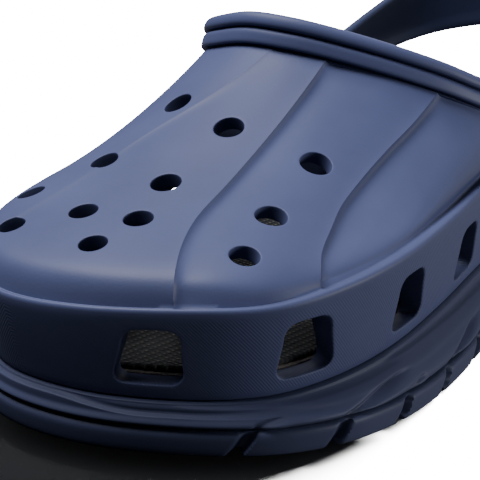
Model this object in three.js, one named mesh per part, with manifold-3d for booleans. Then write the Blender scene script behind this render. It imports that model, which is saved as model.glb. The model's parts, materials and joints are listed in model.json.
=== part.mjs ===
// A moulded foam garden clog for the left foot, toe towards -Y, outer side towards +X, sole on Z = 0.
// Millimetres, +Z up. The origin is on the floor under the middle of the shoe's box.
import * as THREE from 'three';
import { mergeVertices } from 'three/addons/utils/BufferGeometryUtils.js';
import Module from 'manifold-3d';

const wasm = await Module();
wasm.setup();

// ---------- driving dimensions ----------
const shoeLength = 290; // band outline, toe to heel
const shoeWidth = 111.5; // band outline at the ball of the foot
const lipHeight = 50; // floor to the band's top edge beside the foot
const collarHeight = 98; // floor to the highest point of the foot opening
const wall = 5.2; // upper's wall
const outsoleDepth = 7; // tread layer
const midsoleTop = 20; // floor to the top of the midsole
const seam = 0.3; // gap between pieces that lie on each other
const toeSpring = 6.5; // lift of the sole at the toe tip
const insoleDepth = 3.6; // foam footbed
const coverDepth = 1.2; // textile on the footbed
const holeRadius = 4.4; // round holes in the vamp
const ventWidth = 17.2; // side openings in the band, at their foot
const ventHeight = 15.6;
const ventFoot = 24.5; // floor to the foot of each vent
const toeVentLean = 2.4; // how far the first vents' heads lie towards the heel
const sideVentLean = -1.2; // the same for the others
const ventStart = 38; // toe tip to the first vent on each side, along the band
const ventPitch = 44; // between vents
const ventsPerSide = 4;
const strapThickness = 3.6;
const strapHeelWidth = 27; // height of the strap's wide back
const shankRadius = 3.5; // rivet shank
const headRadius = 7.5; // rivet head and back cap
const headDepth = 2.6;
const capDepth = 2;
const bossRadius = 9; // round pad that the strap turns on
const pivotY = 36;
const pivotZ = 58;

// ---------- clearances ----------
const runningGap = 0.4; // strap to boss, strap to head
const boreGap = 0.3; // shank to strap and wall
const bandInset = 0.35; // footbed to the upper's inside

// ---------- sampling ----------
const columns = 60; // around the shoe
const vampRows = [0.03, 0.08, 0.16, 0.32, 0.5, 0.68, 0.85, 1];
const facets = 18; // round parts

// ---------- small helpers ----------
const clamp01 = (x) => Math.min(1, Math.max(0, x));
const ramp = (from, to, x) => {
  const t = clamp01((x - from) / (to - from));
  return t * t * (3 - 2 * t);
};
const mix = (a, b, t) => a + (b - a) * t;
const halfLength = shoeLength / 2;
const halfWidth = shoeWidth / 2;
const lipScale = lipHeight / 50;
const collarScale = collarHeight / 97;

// ---------- outline stations ----------
// Each station pairs a point of the band's top edge with the point of the foot opening's rim that the
// upper leads up to: shares of half the width, half the length, the lip height and the collar height.
// They run from the toe tip over the outer side to the heel and back over the inner side.
const stations = [
  [-0.3, -0.997, 0.88, -0.2, -0.29, 1],
  [0.11, -0.99, 0.9, 0.02, -0.283, 0.995],
  [0.54, -0.925, 0.92, 0.23, -0.242, 0.965],
  [0.825, -0.828, 0.915, 0.45, -0.18, 0.918],
  [0.968, -0.683, 0.93, 0.645, -0.097, 0.856],
  [1.022, -0.503, 0.95, 0.77, -0.007, 0.789],
  [0.986, -0.276, 0.975, 0.834, 0.103, 0.732],
  [0.897, 0, 1, 0.825, 0.248, 0.694],
  [0.825, 0.29, 0.97, 0.771, 0.4, 0.585],
  [0.79, 0.552, 0.9, 0.708, 0.58, 0.495],
  [0.717, 0.772, 0.83, 0.637, 0.758, 0.45],
  [0.466, 0.938, 0.79, 0.421, 0.91, 0.43],
  [0.072, 1, 0.785, 0.072, 0.966, 0.43],
  [-0.323, 0.938, 0.79, -0.278, 0.91, 0.43],
  [-0.556, 0.772, 0.83, -0.484, 0.758, 0.45],
  [-0.628, 0.566, 0.9, -0.556, 0.593, 0.495],
  [-0.673, 0.331, 0.97, -0.619, 0.434, 0.575],
  [-0.744, 0.083, 1, -0.7, 0.276, 0.688],
  [-0.843, -0.152, 1, -0.73, 0.172, 0.72],
  [-0.888, -0.379, 1, -0.74, 0.066, 0.77],
  [-0.924, -0.579, 1, -0.735, -0.034, 0.828],
  [-0.915, -0.731, 0.97, -0.69, -0.124, 0.884],
  [-0.825, -0.855, 0.93, -0.59, -0.2, 0.932],
  [-0.61, -0.952, 0.9, -0.42, -0.262, 0.97],
].map(([lx, ly, lz, rx, ry, rz]) => [
  lx * halfWidth, ly * halfLength, lz * lipHeight, rx * halfWidth, ry * halfLength, rz * collarHeight,
]);

// A closed uniform Catmull-Rom curve through the stations; u runs from 0 to 1 around the shoe.
function station(u) {
  const count = stations.length;
  const s = (((u % 1) + 1) % 1) * count;
  const i = Math.floor(s);
  const f = s - i;
  const [a, b, c, d] = [-1, 0, 1, 2].map((k) => stations[(i + k + count) % count]);
  return b.map((_, k) => 0.5 * (2 * b[k] + (c[k] - a[k]) * f
    + (2 * a[k] - 5 * b[k] + 4 * c[k] - d[k]) * f * f + (3 * b[k] - a[k] - 3 * c[k] + d[k]) * f ** 3));
}
const lipAt = (u) => new THREE.Vector3(...station(u).slice(0, 3));
const rimAt = (u) => new THREE.Vector3(...station(u).slice(3));

// Level outward normal of a closed curve that runs anticlockwise from above.
function outward(curve, u) {
  const step = 0.002;
  const t = curve(u + step).sub(curve(u - step));
  return new THREE.Vector3(t.y, -t.x, 0).normalize();
}

// ---------- shares of the shoe that shape blends over ----------
const toeShare = (u) => ramp(-0.655 * halfLength, -0.965 * halfLength, lipAt(u).y);
const springAt = (y) => toeSpring * ramp(-0.25, -0.92, y / halfLength);
const bandFoot = (u) => 4 + 1.5 * toeShare(u); // how far the band's foot lies inside its top edge
const collarDepth = (u) => mix(3, 9.5, ramp(0.52 * halfLength, 0.07 * halfLength, rimAt(u).y)) * collarScale;

// A point beside the band's top edge: `out` millimetres outside it, at height z.
function beside(u, out, z) {
  const p = lipAt(u).addScaledVector(outward(lipAt, u), out);
  return p.setZ(z);
}

// The vamp: from `start` inside the band's lip to `end` under the collar, with a shoulder that is round
// at the sides and has a steep foot at the toe.
function sweepUp(u, t, start, end, shoulderShare) {
  const reach = Math.hypot(end.x - start.x, end.y - start.y);
  const rise = end.z - start.z;
  const facing = clamp01(-outward(lipAt, u).y);
  const inner = ramp(15, -35, lipAt(u).x);
  const shoulder = Math.min(
    (1.5 + 9.7 * facing + 4.2 * inner * (1 - facing)) * ramp(8, 50, reach) * shoulderShare * lipScale,
    rise * 0.6,
  );
  const settle = (curl) => (1 - Math.exp((-t * reach) / curl)) / (1 - Math.exp(-reach / curl));
  const quick = mix(settle(mix(4.6, 9, facing)), settle(1.1), 0.5 * facing);
  const power = mix(1.24, 1.86, ramp(40, 100, reach));
  const p = start.clone().lerp(end, t);
  return p.setZ(start.z + shoulder * quick + (rise - shoulder) * t ** power);
}
const gutterInset = (u) => (
  mix(1.5, 4, ramp(0.45 * halfLength, 0.1 * halfLength, lipAt(u).y)) * mix(1, 0.5, toeShare(u))
);
const collarStep = (u) => mix(0.6, 2.5, ramp(0.52 * halfLength, 0.1 * halfLength, rimAt(u).y));
function vampAt(u, t) {
  const lip = lipAt(u);
  const start = beside(u, -gutterInset(u), lip.z + 0.3);
  const end = rimAt(u).addScaledVector(outward(rimAt, u), collarStep(u));
  end.z -= collarDepth(u);
  return sweepUp(u, t, start, end, 1);
}
function vampInsideAt(u, t) {
  const lip = lipAt(u);
  const start = beside(u, -gutterInset(u) - wall * 0.85, lip.z - 2.5);
  const end = rimAt(u).addScaledVector(outward(rimAt, u), collarStep(u) - wall * 0.95);
  end.z -= collarDepth(u) + 1.5;
  return sweepUp(u, t, start, end, 0.92);
}

// ---------- mesh builders ----------
function geometryFrom(points, triangles) {
  const geometry = new THREE.BufferGeometry();
  geometry.setAttribute('position', new THREE.Float32BufferAttribute(points.flatMap((p) => [p.x, p.y, p.z]), 3));
  geometry.setIndex(triangles.flat());
  return geometry;
}

// Loops of equal length, each joined to the next; a closed set of loops makes a ring.
function joinLoops(loops, closed) {
  const count = loops[0].length;
  const triangles = [];
  const last = closed ? loops.length : loops.length - 1;
  for (let j = 0; j < last; j += 1) {
    const a = j * count;
    const b = ((j + 1) % loops.length) * count;
    for (let i = 0; i < count; i += 1) {
      const k = (i + 1) % count;
      triangles.push([a + i, a + k, b + k], [a + i, b + k, b + i]);
    }
  }
  return triangles;
}

// Fills a loop with rungs between its outer and inner sides; `height` sets the rungs' inner points.
function ladder(points, first, count, rungs, height, up) {
  const triangles = [];
  const half = count / 2;
  const rows = [];
  for (let i = 1; i < half; i += 1) {
    const a = points[first + i];
    const b = points[first + count - i];
    const row = [first + i];
    for (let k = 1; k < rungs; k += 1) {
      const p = a.clone().lerp(b, k / rungs);
      points.push(p.setZ(height(p, k / rungs)));
      row.push(points.length - 1);
    }
    row.push(first + count - i);
    rows.push(row);
  }
  const add = (a, b, c) => triangles.push(up ? [a, b, c] : [a, c, b]);
  for (let k = 0; k < rungs; k += 1) {
    add(first, rows[0][k], rows[0][k + 1]);
    const end = rows[rows.length - 1];
    add(first + half, end[k + 1], end[k]);
  }
  for (let i = 0; i + 1 < rows.length; i += 1) {
    for (let k = 0; k < rungs; k += 1) {
      add(rows[i][k], rows[i + 1][k], rows[i + 1][k + 1]);
      add(rows[i][k], rows[i + 1][k + 1], rows[i][k + 1]);
    }
  }
  return triangles;
}

const around = (make) => Array.from({ length: columns }, (_, i) => make(i / columns));

// A slab with sides through the given loops, bottom first, and a ladder on its floor and top.
function slab(loops, rungs, floorHeight, topHeight) {
  const points = loops.flat();
  const triangles = joinLoops(loops, false);
  triangles.push(...ladder(points, 0, columns, rungs, floorHeight, false));
  triangles.push(...ladder(points, (loops.length - 1) * columns, columns, rungs, topHeight, true));
  return geometryFrom(points, triangles);
}

function solid(geometry) {
  const plain = geometry.index ? geometry.toNonIndexed() : geometry.clone();
  plain.deleteAttribute('normal');
  plain.deleteAttribute('uv');
  const merged = mergeVertices(plain, 1e-4);
  return new wasm.Manifold(new wasm.Mesh({
    numProp: 3,
    vertProperties: new Float32Array(merged.attributes.position.array),
    triVerts: new Uint32Array(merged.index.array),
  }));
}
function fromSolid(body) {
  const mesh = body.getMesh();
  const geometry = new THREE.BufferGeometry();
  geometry.setAttribute('position', new THREE.Float32BufferAttribute(mesh.vertProperties, 3));
  geometry.setIndex(Array.from(mesh.triVerts));
  return geometry;
}
const cut = (body, tools) => tools.reduce((rest, tool) => rest.subtract(solid(tool)), body);

// A round bar along X between two places, about the strap's pivot line.
function crossBar(radius, fromX, toX) {
  const bar = new THREE.CylinderGeometry(radius, radius, toX - fromX, facets);
  return bar.rotateZ(Math.PI / 2).translate((fromX + toX) / 2, pivotY, pivotZ);
}

// ---------- outsole and midsole ----------
// Side profiles: how far outside the band's top edge, and the height over the sprung sole.
const soleEdge = (u) => mix(3.2, -3, toeShare(u));
const soleLoop = (out, height) => around((u) => {
  const p = beside(u, out(u), 0);
  return p.setZ(height(u, p));
});
const sprung = (z) => (u, p) => z + springAt(p.y) * clamp01((midsoleTop - z) / (midsoleTop - outsoleDepth));

function outsole() {
  const chamfer = 1.2;
  const loops = [
    soleLoop((u) => soleEdge(u) - chamfer, sprung(0)),
    soleLoop(soleEdge, sprung(chamfer)),
    soleLoop((u) => soleEdge(u) + 0.5, sprung(outsoleDepth - chamfer)),
    soleLoop((u) => soleEdge(u) - 0.6, sprung(outsoleDepth)),
  ];
  const floor = (p) => springAt(p.y);
  const body = solid(slab(loops, 4, floor, (p) => outsoleDepth + springAt(p.y)));
  return fromSolid(cut(body, treadGrooves()));
}

// Wedge-shaped grooves across the sole, and notches in its edge between them.
const grooveWidth = 4;
const grooveDepth = 3;
const groovePitch = 24;
function treadGrooves() {
  const tools = [];
  const rows = Math.floor((shoeLength - 60) / groovePitch);
  for (let i = 0; i <= rows; i += 1) {
    const y = (i - rows / 2) * groovePitch;
    for (const side of [-1, 1]) {
      const groove = new THREE.BoxGeometry(shoeWidth * 0.32, grooveWidth, grooveDepth * 2);
      groove.rotateZ(side * 0.3);
      groove.translate(side * shoeWidth * 0.4 + 4, y, springAt(y));
      tools.push(groove);
    }
  }
  return tools;
}

function midsole() {
  const foot = outsoleDepth + seam;
  const loops = [
    soleLoop((u) => soleEdge(u) - 1.2, sprung(foot)),
    soleLoop((u) => soleEdge(u) - 0.2, sprung(foot + 1)),
    soleLoop((u) => mix(soleEdge(u), -bandFoot(u), 0.35), sprung(mix(foot, midsoleTop, 0.5))),
    soleLoop((u) => -bandFoot(u) + 0.6, sprung(midsoleTop - 1.5)),
    soleLoop((u) => -bandFoot(u) - 0.6, sprung(midsoleTop)),
  ];
  return slab(loops, 4, (p) => foot + springAt(p.y), () => midsoleTop);
}

// ---------- upper ----------
const upperFoot = midsoleTop + seam;
const innerBand = (u) => -bandFoot(u) - wall; // inside face of the band, from the lip outline

function upperShell() {
  const collar = (out, down) => around((u) => {
    const p = rimAt(u).addScaledVector(outward(rimAt, u), mix(out * 0.45, out, collarDepth(u) / 9.5));
    p.z -= collarDepth(u) * down;
    return p;
  });
  const band = (out, z) => around((u) => beside(u, out(u), z(lipAt(u).z, u)));
  const loops = [
    band((u) => -bandFoot(u), () => upperFoot),
    band((u) => -bandFoot(u) * 0.62, (z) => mix(upperFoot, z, 0.35)),
    band((u) => -bandFoot(u) * 0.22, (z) => mix(upperFoot, z, 0.72)),
    band(() => 0, (z) => z - 1.4),
    band(() => -1.1, (z) => z),
    band((u) => -gutterInset(u), (z) => z + 0.3),
    ...vampRows.map((t) => around((u) => vampAt(u, t))),
    collar(3.5, 0.72),
    collar(2, 0.42),
    collar(2.7, 0.2),
    collar(1.1, 0),
    collar(-1.2, 0.06),
    collar(-2.2, 0.5),
    ...vampRows.toReversed().filter((_, i) => i % 2 === 0).map((t) => around((u) => vampInsideAt(u, t))),
    band((u) => Math.min(innerBand(u), -gutterInset(u) - wall * 0.85), (z) => z - 6),
    band(innerBand, () => upperFoot),
  ];
  return geometryFrom(loops.flat(), joinLoops(loops, true));
}

// Seats of the vamp's holes: how many stations round from the toe tip, the share of the way up, and the
// share of the full radius.
const holeSeats = [
  [-0.53, 0.766, 0.95], [-0.82, 0.48, 0.9], [-1.66, 0.214, 0.88], // inner row
  [0.93, 0.699, 0.95], [0.75, 0.443, 0.93], [0.07, 0.265, 0.88], [-0.81, 0.115, 0.82], // middle row
  [0.91, 0.267, 0.88], [0.73, 0.132, 0.84], // toe pair
  [2.51, 0.602, 1], [2.37, 0.336, 0.96], [2.41, 0.133, 0.88], // outer row
].map(([s, t, share]) => [s / stations.length, t, share * holeRadius]);

function holeTools() {
  return holeSeats.map(([u, t, radius]) => {
    const step = 0.004;
    const p = vampAt(u, t);
    const along = vampAt(u + step, t).sub(vampAt(u - step, t));
    const rising = vampAt(u, t + step).sub(vampAt(u, t - step));
    const normal = along.cross(rising).normalize();
    const tool = new THREE.CylinderGeometry(radius, radius, wall * 5, facets);
    tool.applyQuaternion(new THREE.Quaternion().setFromUnitVectors(new THREE.Vector3(0, 1, 0), normal));
    return tool.translate(p.x, p.y, p.z);
  });
}

// The value of u at a distance along the band's top edge from the toe tip.
function alongBand(distance) {
  const steps = 400;
  const way = Math.sign(distance);
  let gone = 0;
  let last = lipAt(0);
  for (let i = 1; i < steps; i += 1) {
    const next = lipAt((way * i) / steps / 2);
    gone += next.distanceTo(last);
    if (gone >= Math.abs(distance)) return (way * i) / steps / 2;
    last = next;
  }
  return way / 2;
}

// A vent is a window with a wide foot and a round head that leans along the band.
function ventShape(lean) {
  const foot = ventWidth / 2;
  const head = foot * 0.86;
  const corner = 3;
  const shape = new THREE.Shape();
  shape.moveTo(-foot + corner, 0);
  shape.lineTo(foot - corner, 0);
  shape.quadraticCurveTo(foot, 0, foot, corner);
  shape.lineTo(lean + head, ventHeight - 5);
  shape.bezierCurveTo(lean + head, ventHeight - 1, lean + head * 0.7, ventHeight, lean, ventHeight);
  shape.bezierCurveTo(lean - head * 0.7, ventHeight, lean - head, ventHeight - 1, lean - head, ventHeight - 5);
  shape.lineTo(-foot, corner);
  shape.quadraticCurveTo(-foot, 0, -foot + corner, 0);
  return shape;
}
function ventTools() {
  const tools = [];
  for (const side of [-1, 1]) {
    for (let i = 0; i < ventsPerSide; i += 1) {
      const u = alongBand(side * (ventStart + i * ventPitch));
      const reach = wall * 5;
      const window = { depth: reach, bevelEnabled: false, curveSegments: 3 };
      const tool = new THREE.ExtrudeGeometry(ventShape(side * (i ? sideVentLean : toeVentLean)), window);
      tool.translate(0, 0, -reach / 2);
      const n = outward(lipAt, u);
      tool.rotateX(Math.PI / 2).rotateZ(Math.atan2(n.y, n.x) + Math.PI / 2);
      const seat = beside(u, -bandFoot(u) / 2, ventFoot);
      tools.push(tool.translate(seat.x, seat.y, seat.z));
    }
  }
  return tools;
}

// Outer faces of the pads that the strap turns on, outer side then inner side of the foot.
const bossFace = { outer: 0.915 * halfWidth, inner: -0.835 * halfWidth };
const pivots = [
  { side: 1, name: 'outer', face: bossFace.outer },
  { side: -1, name: 'inner', face: bossFace.inner },
];
const bossDepth = 7.5; // pad face to the flat that the back cap sits on
const span = (side, a, b) => (side > 0 ? [a, b] : [b, a]);

function upper() {
  let body = solid(upperShell());
  for (const { side, face } of pivots) {
    const inside = face - side * bossDepth;
    body = body.add(solid(crossBar(bossRadius, ...span(side, inside, face))));
    body = cut(body, [
      crossBar(headRadius + 1, ...span(side, inside - side * 8, inside)),
      crossBar(bossRadius + 4, ...span(side, face, face + side * 12)),
      crossBar(shankRadius + boreGap, ...span(side, inside - side * 1, face + side * 1)),
    ]);
  }
  return fromSolid(cut(body, [...holeTools(), ...ventTools()]));
}

// ---------- footbed ----------
// The footbed cups up at its edge, more at the heel than at the toe.
const cupHeight = (y) => mix(0.6, 4.5, ramp(-0.2 * halfLength, 0.6 * halfLength, y));
const footbedLoop = (z) => around((u) => beside(u, innerBand(u) - bandInset, z(lipAt(u).y)));
const cup = (base) => (p, across) => base + cupHeight(p.y) * Math.abs(2 * across - 1) ** 4;

function insoleFoam() {
  const base = upperFoot;
  const top = base + insoleDepth;
  const loops = [footbedLoop(() => base), footbedLoop((y) => top + cupHeight(y))];
  return slab(loops, 6, () => base, cup(top));
}
function insoleCover() {
  const base = upperFoot + insoleDepth + seam;
  const top = base + coverDepth;
  const loops = [footbedLoop((y) => base + cupHeight(y)), footbedLoop((y) => top + cupHeight(y))];
  return slab(loops, 6, cup(base), cup(top));
}

// ---------- heel strap ----------
const strapGap = runningGap + strapThickness / 2; // boss face to the strap's middle
const strapRoute = [
  [bossFace.outer + strapGap, pivotY - 2],
  [bossFace.outer + strapGap, pivotY + 14],
  [0.95 * halfWidth, 0.46 * halfLength],
  [0.88 * halfWidth, 0.66 * halfLength],
  [0.68 * halfWidth, 0.87 * halfLength],
  [0.05 * halfWidth, 1.0 * halfLength],
  [-0.56 * halfWidth, 0.87 * halfLength],
  [-0.815 * halfWidth, 0.66 * halfLength],
  [-0.895 * halfWidth, 0.46 * halfLength],
  [bossFace.inner - strapGap, pivotY + 14],
  [bossFace.inner - strapGap, pivotY - 2],
];
const strapSteps = 32;
const strapFoot = 65; // floor to the strap's lower edge at the heel
function heelStrap() {
  const curve = new THREE.CatmullRomCurve3(strapRoute.map(([x, y]) => new THREE.Vector3(x, y, 0)), false, 'centripetal');
  const loops = [];
  for (let i = 0; i <= strapSteps; i += 1) {
    const t = i / strapSteps;
    const p = curve.getPointAt(t);
    const way = curve.getTangentAt(t);
    const out = new THREE.Vector3(way.y, -way.x, 0).multiplyScalar(strapThickness / 2);
    const wide = ramp(0.08, 0.44, Math.min(t, 1 - t));
    const low = mix(pivotZ - 5.5, strapFoot, ramp(0.1, 0.46, Math.min(t, 1 - t)));
    const high = mix(pivotZ + 5.5, strapFoot + strapHeelWidth, wide);
    const corner = strapThickness * 0.3;
    const ring = [[1, low + corner], [1, high - corner], [0.4, high], [-0.4, high],
      [-1, high - corner], [-1, low + corner], [-0.4, low], [0.4, low]];
    loops.push(ring.map(([s, z]) => p.clone().addScaledVector(out, s).setZ(z)));
  }
  const points = loops.flat();
  const triangles = joinLoops(loops, false);
  const sides = loops[0].length;
  for (let k = 1; k + 1 < sides; k += 1) {
    const end = strapSteps * sides;
    triangles.push([0, k + 1, k], [end, end + k, end + k + 1]);
  }
  for (const t of triangles) t.reverse();
  let body = solid(geometryFrom(points, triangles));
  for (const { side, face } of pivots) {
    const near = face + side * runningGap;
    body = body.add(solid(crossBar(bossRadius, ...span(side, near, near + side * strapThickness))));
    body = cut(body, [crossBar(shankRadius + boreGap, ...span(side, near - side * 2, near + side * strapThickness * 2))]);
  }
  return fromSolid(body);
}

// ---------- rivets ----------
function rivetButton({ side, face }) {
  const under = face + side * (2 * runningGap + strapThickness);
  const tip = face - side * (bossDepth + capDepth);
  const half = [[0, headDepth], [headRadius * 0.55, headDepth * 0.93], [headRadius * 0.9, headDepth * 0.55],
    [headRadius, 0], [shankRadius, 0], [shankRadius, -Math.abs(tip - under)], [0, -Math.abs(tip - under)]];
  const profile = half.map(([r, h]) => new THREE.Vector2(r, h)).reverse();
  const turned = new THREE.LatheGeometry(profile, facets);
  return turned.rotateZ(-side * Math.PI / 2).translate(under, pivotY, pivotZ);
}
function rivetCap({ side, face }) {
  const seat = face - side * (bossDepth + seam);
  const bore = shankRadius + boreGap;
  const half = [[bore, 0], [headRadius, 0], [headRadius, capDepth * 0.6], [headRadius - 1, capDepth], [bore, capDepth]];
  const profile = [...half, half[0]].map(([r, h]) => new THREE.Vector2(r, h));
  const turned = new THREE.LatheGeometry(profile, facets);
  return turned.rotateZ(side * Math.PI / 2).translate(seat, pivotY, pivotZ);
}

// ---------- materials and assembly ----------
const foam = (color, roughness) => new THREE.MeshStandardMaterial({ color, roughness, metalness: 0 });
const materials = {
  navyFoam: foam(0x3a4566, 0.55),
  soleFoam: foam(0x2a3048, 0.6),
  treadFoam: foam(0x20253a, 0.65),
  footbedFoam: foam(0x5a5550, 0.85),
  textile: foam(0x1d1f26, 0.95),
  strapFoam: foam(0x151b2b, 0.55),
  rivetPlastic: foam(0x1a2136, 0.4),
};

const group = new THREE.Group();
function addPiece(name, geometry, material) {
  const mesh = new THREE.Mesh(geometry, material);
  mesh.name = name;
  group.add(mesh);
}
addPiece('outsole', outsole(), materials.treadFoam);
addPiece('midsole', midsole(), materials.soleFoam);
addPiece('upper', upper(), materials.navyFoam);
addPiece('insole_foam', insoleFoam(), materials.footbedFoam);
addPiece('insole_cover', insoleCover(), materials.textile);
addPiece('heel_strap', heelStrap(), materials.strapFoam);
for (const pivot of pivots) {
  addPiece(`rivet_button_${pivot.name}`, rivetButton(pivot), materials.rivetPlastic);
  addPiece(`rivet_cap_${pivot.name}`, rivetCap(pivot), materials.rivetPlastic);
}

export default group;
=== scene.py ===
"""A moulded foam garden clog for the left foot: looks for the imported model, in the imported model's frame."""
import json
import math

import bpy
import numpy as np
from bpy.props import FloatProperty, FloatVectorProperty, IntProperty, PointerProperty
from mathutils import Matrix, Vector


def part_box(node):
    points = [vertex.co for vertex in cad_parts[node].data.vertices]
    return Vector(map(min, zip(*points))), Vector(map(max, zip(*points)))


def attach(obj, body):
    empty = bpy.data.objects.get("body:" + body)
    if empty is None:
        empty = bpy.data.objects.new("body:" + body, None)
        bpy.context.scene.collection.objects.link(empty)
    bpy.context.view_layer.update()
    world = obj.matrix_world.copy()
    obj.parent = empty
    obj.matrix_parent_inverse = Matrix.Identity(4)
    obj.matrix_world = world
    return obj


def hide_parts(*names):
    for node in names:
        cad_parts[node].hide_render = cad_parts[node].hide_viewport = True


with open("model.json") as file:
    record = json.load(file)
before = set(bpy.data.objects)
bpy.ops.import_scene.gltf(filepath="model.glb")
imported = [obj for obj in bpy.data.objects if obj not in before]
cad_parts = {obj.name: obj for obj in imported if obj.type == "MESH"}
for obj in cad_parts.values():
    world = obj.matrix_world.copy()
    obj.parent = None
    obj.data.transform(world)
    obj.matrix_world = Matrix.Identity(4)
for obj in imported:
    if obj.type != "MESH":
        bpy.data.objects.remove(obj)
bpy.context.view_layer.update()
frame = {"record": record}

bl_info = {
    "name": "Garden Clog",
    "version": (1, 0, 0),
    "blender": (4, 5, 0),
    "location": "3D View > Sidebar > Clog",
    "description": "Builds a moulded foam garden clog around its packed frame",
    "category": "Object",
}

MM = 0.001
PIVOT = [1000 * v for v in frame["record"]["behaviour"]["joints"][0]["pos_m"]]


def top_of(node):
    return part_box(node)[1][2]


# ---------- sizes and colours ----------
def length(name, description, default):
    return FloatProperty(name=name, description=description, default=default, unit="LENGTH", precision=4)


class ClogSizes(bpy.types.PropertyGroup):
    """Overall sizes that every piece is shaped from."""

    shoe_length: length("Length", "Band outline from toe to heel", 0.290)
    shoe_width: length("Width", "Band outline at the ball of the foot", 0.1115)
    lip_height: length("Lip height", "Floor to the band's top edge beside the foot", 0.050)
    collar_height: length("Collar height", "Floor to the highest point of the foot opening", 0.098)
    wall: length("Wall", "Thickness of the upper's foam", 0.0052)
    outsole_depth: length("Outsole", "Thickness of the tread layer", 0.007)
    midsole_top: length("Midsole top", "Floor to the top of the midsole", round(top_of("midsole"), 4))
    toe_spring: length("Toe spring", "Lift of the sole at the toe tip", 0.0065)


class UpperLooks(bpy.types.PropertyGroup):
    """Openings and moulded lines of the upper."""

    hole_radius: length("Hole radius", "Round holes in the vamp", 0.0044)
    vent_width: length("Vent width", "Side openings, at their foot", 0.0172)
    vent_height: length("Vent height", "Side openings, foot to head", 0.0156)
    vent_foot: length("Vent foot", "Floor to the foot of each side opening", 0.0245)
    vent_start: length("First vent", "Toe tip to the first vent, along the band", 0.038)
    vent_pitch: length("Vent pitch", "Between vents, along the band", 0.044)
    vents: IntProperty(name="Vents a side", description="Side openings on each side", default=4, min=0, max=5)
    ridge_drop: length("Ridge drop", "Step down on the outer side of a moulded ridge", 0.0023)
    foam: FloatVectorProperty(name="Foam", description="Colour of the upper's foam", subtype="COLOR", size=3,
                              default=(0x40 / 255, 0x46 / 255, 0x67 / 255), min=0, max=1)


class SoleLooks(bpy.types.PropertyGroup):
    """Moulded lines of the sole and its footbed."""

    notch_start: length("First notch", "Toe tip to the first tread notch, along the band", 0.0636)
    notch_pitch: length("Notch pitch", "Between tread notches, along the band", 0.026)
    notch_depth: length("Notch depth", "How far a tread notch cuts into the edge", 0.0024)
    lug_radius: length("Lug radius", "Half the length of a tread lug", 0.0052)
    lug_pitch: length("Lug pitch", "Between tread lugs", 0.0125)
    insole_depth: length("Footbed foam", "Thickness of the footbed's foam", 0.0036)
    cover_depth: length("Footbed cloth", "Thickness of the footbed's cloth", 0.0012)
    # painted shade: the sole's foam is set darker than the upper's foam, for the weaker light that reaches the
    # sole's sides
    foam: FloatVectorProperty(name="Foam", description="Colour of the sole's foam", subtype="COLOR", size=3,
                              default=(0x33 / 255, 0x38 / 255, 0x52 / 255), min=0, max=1)


class StrapLooks(bpy.types.PropertyGroup):
    """Heel strap and its rivets."""

    thickness: length("Thickness", "Thickness of the strap", 0.0036)
    heel_width: length("Heel width", "Height of the strap's wide back", 0.027)
    foot: length("Strap foot", "Floor to the strap's lower edge at the heel", 0.065)
    boss_radius: length("Eye radius", "Round end that turns on the rivet", 0.009)
    shank_radius: length("Shank radius", "Rivet shank", 0.0035)
    head_radius: length("Head radius", "Rivet head", 0.0075)
    foam: FloatVectorProperty(name="Foam", description="Colour of the strap's foam", subtype="COLOR", size=3,
                              default=(0x2E / 255, 0x35 / 255, 0x50 / 255), min=0, max=1)


class StageLooks(bpy.types.PropertyGroup):
    """Camera, light and floor."""

    azimuth: FloatProperty(name="Azimuth", description="Turn of the camera about the shoe", subtype="ANGLE",
                           default=math.radians(33))
    elevation: FloatProperty(name="Elevation", description="How far the camera looks down", subtype="ANGLE",
                             default=math.radians(19))
    distance: length("Distance", "Camera to the point that it looks at", 0.4615)
    aim: FloatVectorProperty(name="Aim", description="Point that the camera looks at", subtype="XYZ",
                             default=(-0.020, -0.034, 0.025))
    top_power: FloatProperty(name="Top light", description="Power of the overhead softbox", default=40)
    back_power: FloatProperty(name="Back light", description="Power of the softbox behind", default=5)
    floor_power: FloatProperty(name="Floor light", description="Power of the light that whitens the floor",
                               default=900)
    fill_power: FloatProperty(name="Side light", description="Power of the side softbox", default=12)


# ---------- small maths ----------
def clamp(x):
    return np.clip(x, 0.0, 1.0)


def ramp(start, end, x):
    t = clamp((np.asarray(x, float) - start) / (end - start))
    return t * t * (3 - 2 * t)


def mix(a, b, t):
    return a + (b - a) * t


def unit(v):
    return v / np.linalg.norm(v, axis=-1, keepdims=True)


def through(points, x):
    """A smooth curve through (x, value) points, level beyond its ends."""
    p = np.array(points, float)
    slope = np.gradient(p[:, 1], p[:, 0])
    x = np.clip(x, p[0, 0], p[-1, 0])
    i = np.clip(np.searchsorted(p[:, 0], x, side="right") - 1, 0, len(p) - 2)
    h = p[i + 1, 0] - p[i, 0]
    t = (x - p[i, 0]) / h
    return ((1 + 2 * t) * (1 - t) ** 2 * p[i, 1] + t * (1 - t) ** 2 * h * slope[i]
            + t * t * (3 - 2 * t) * p[i + 1, 1] - t * t * (1 - t) * h * slope[i + 1])


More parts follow.
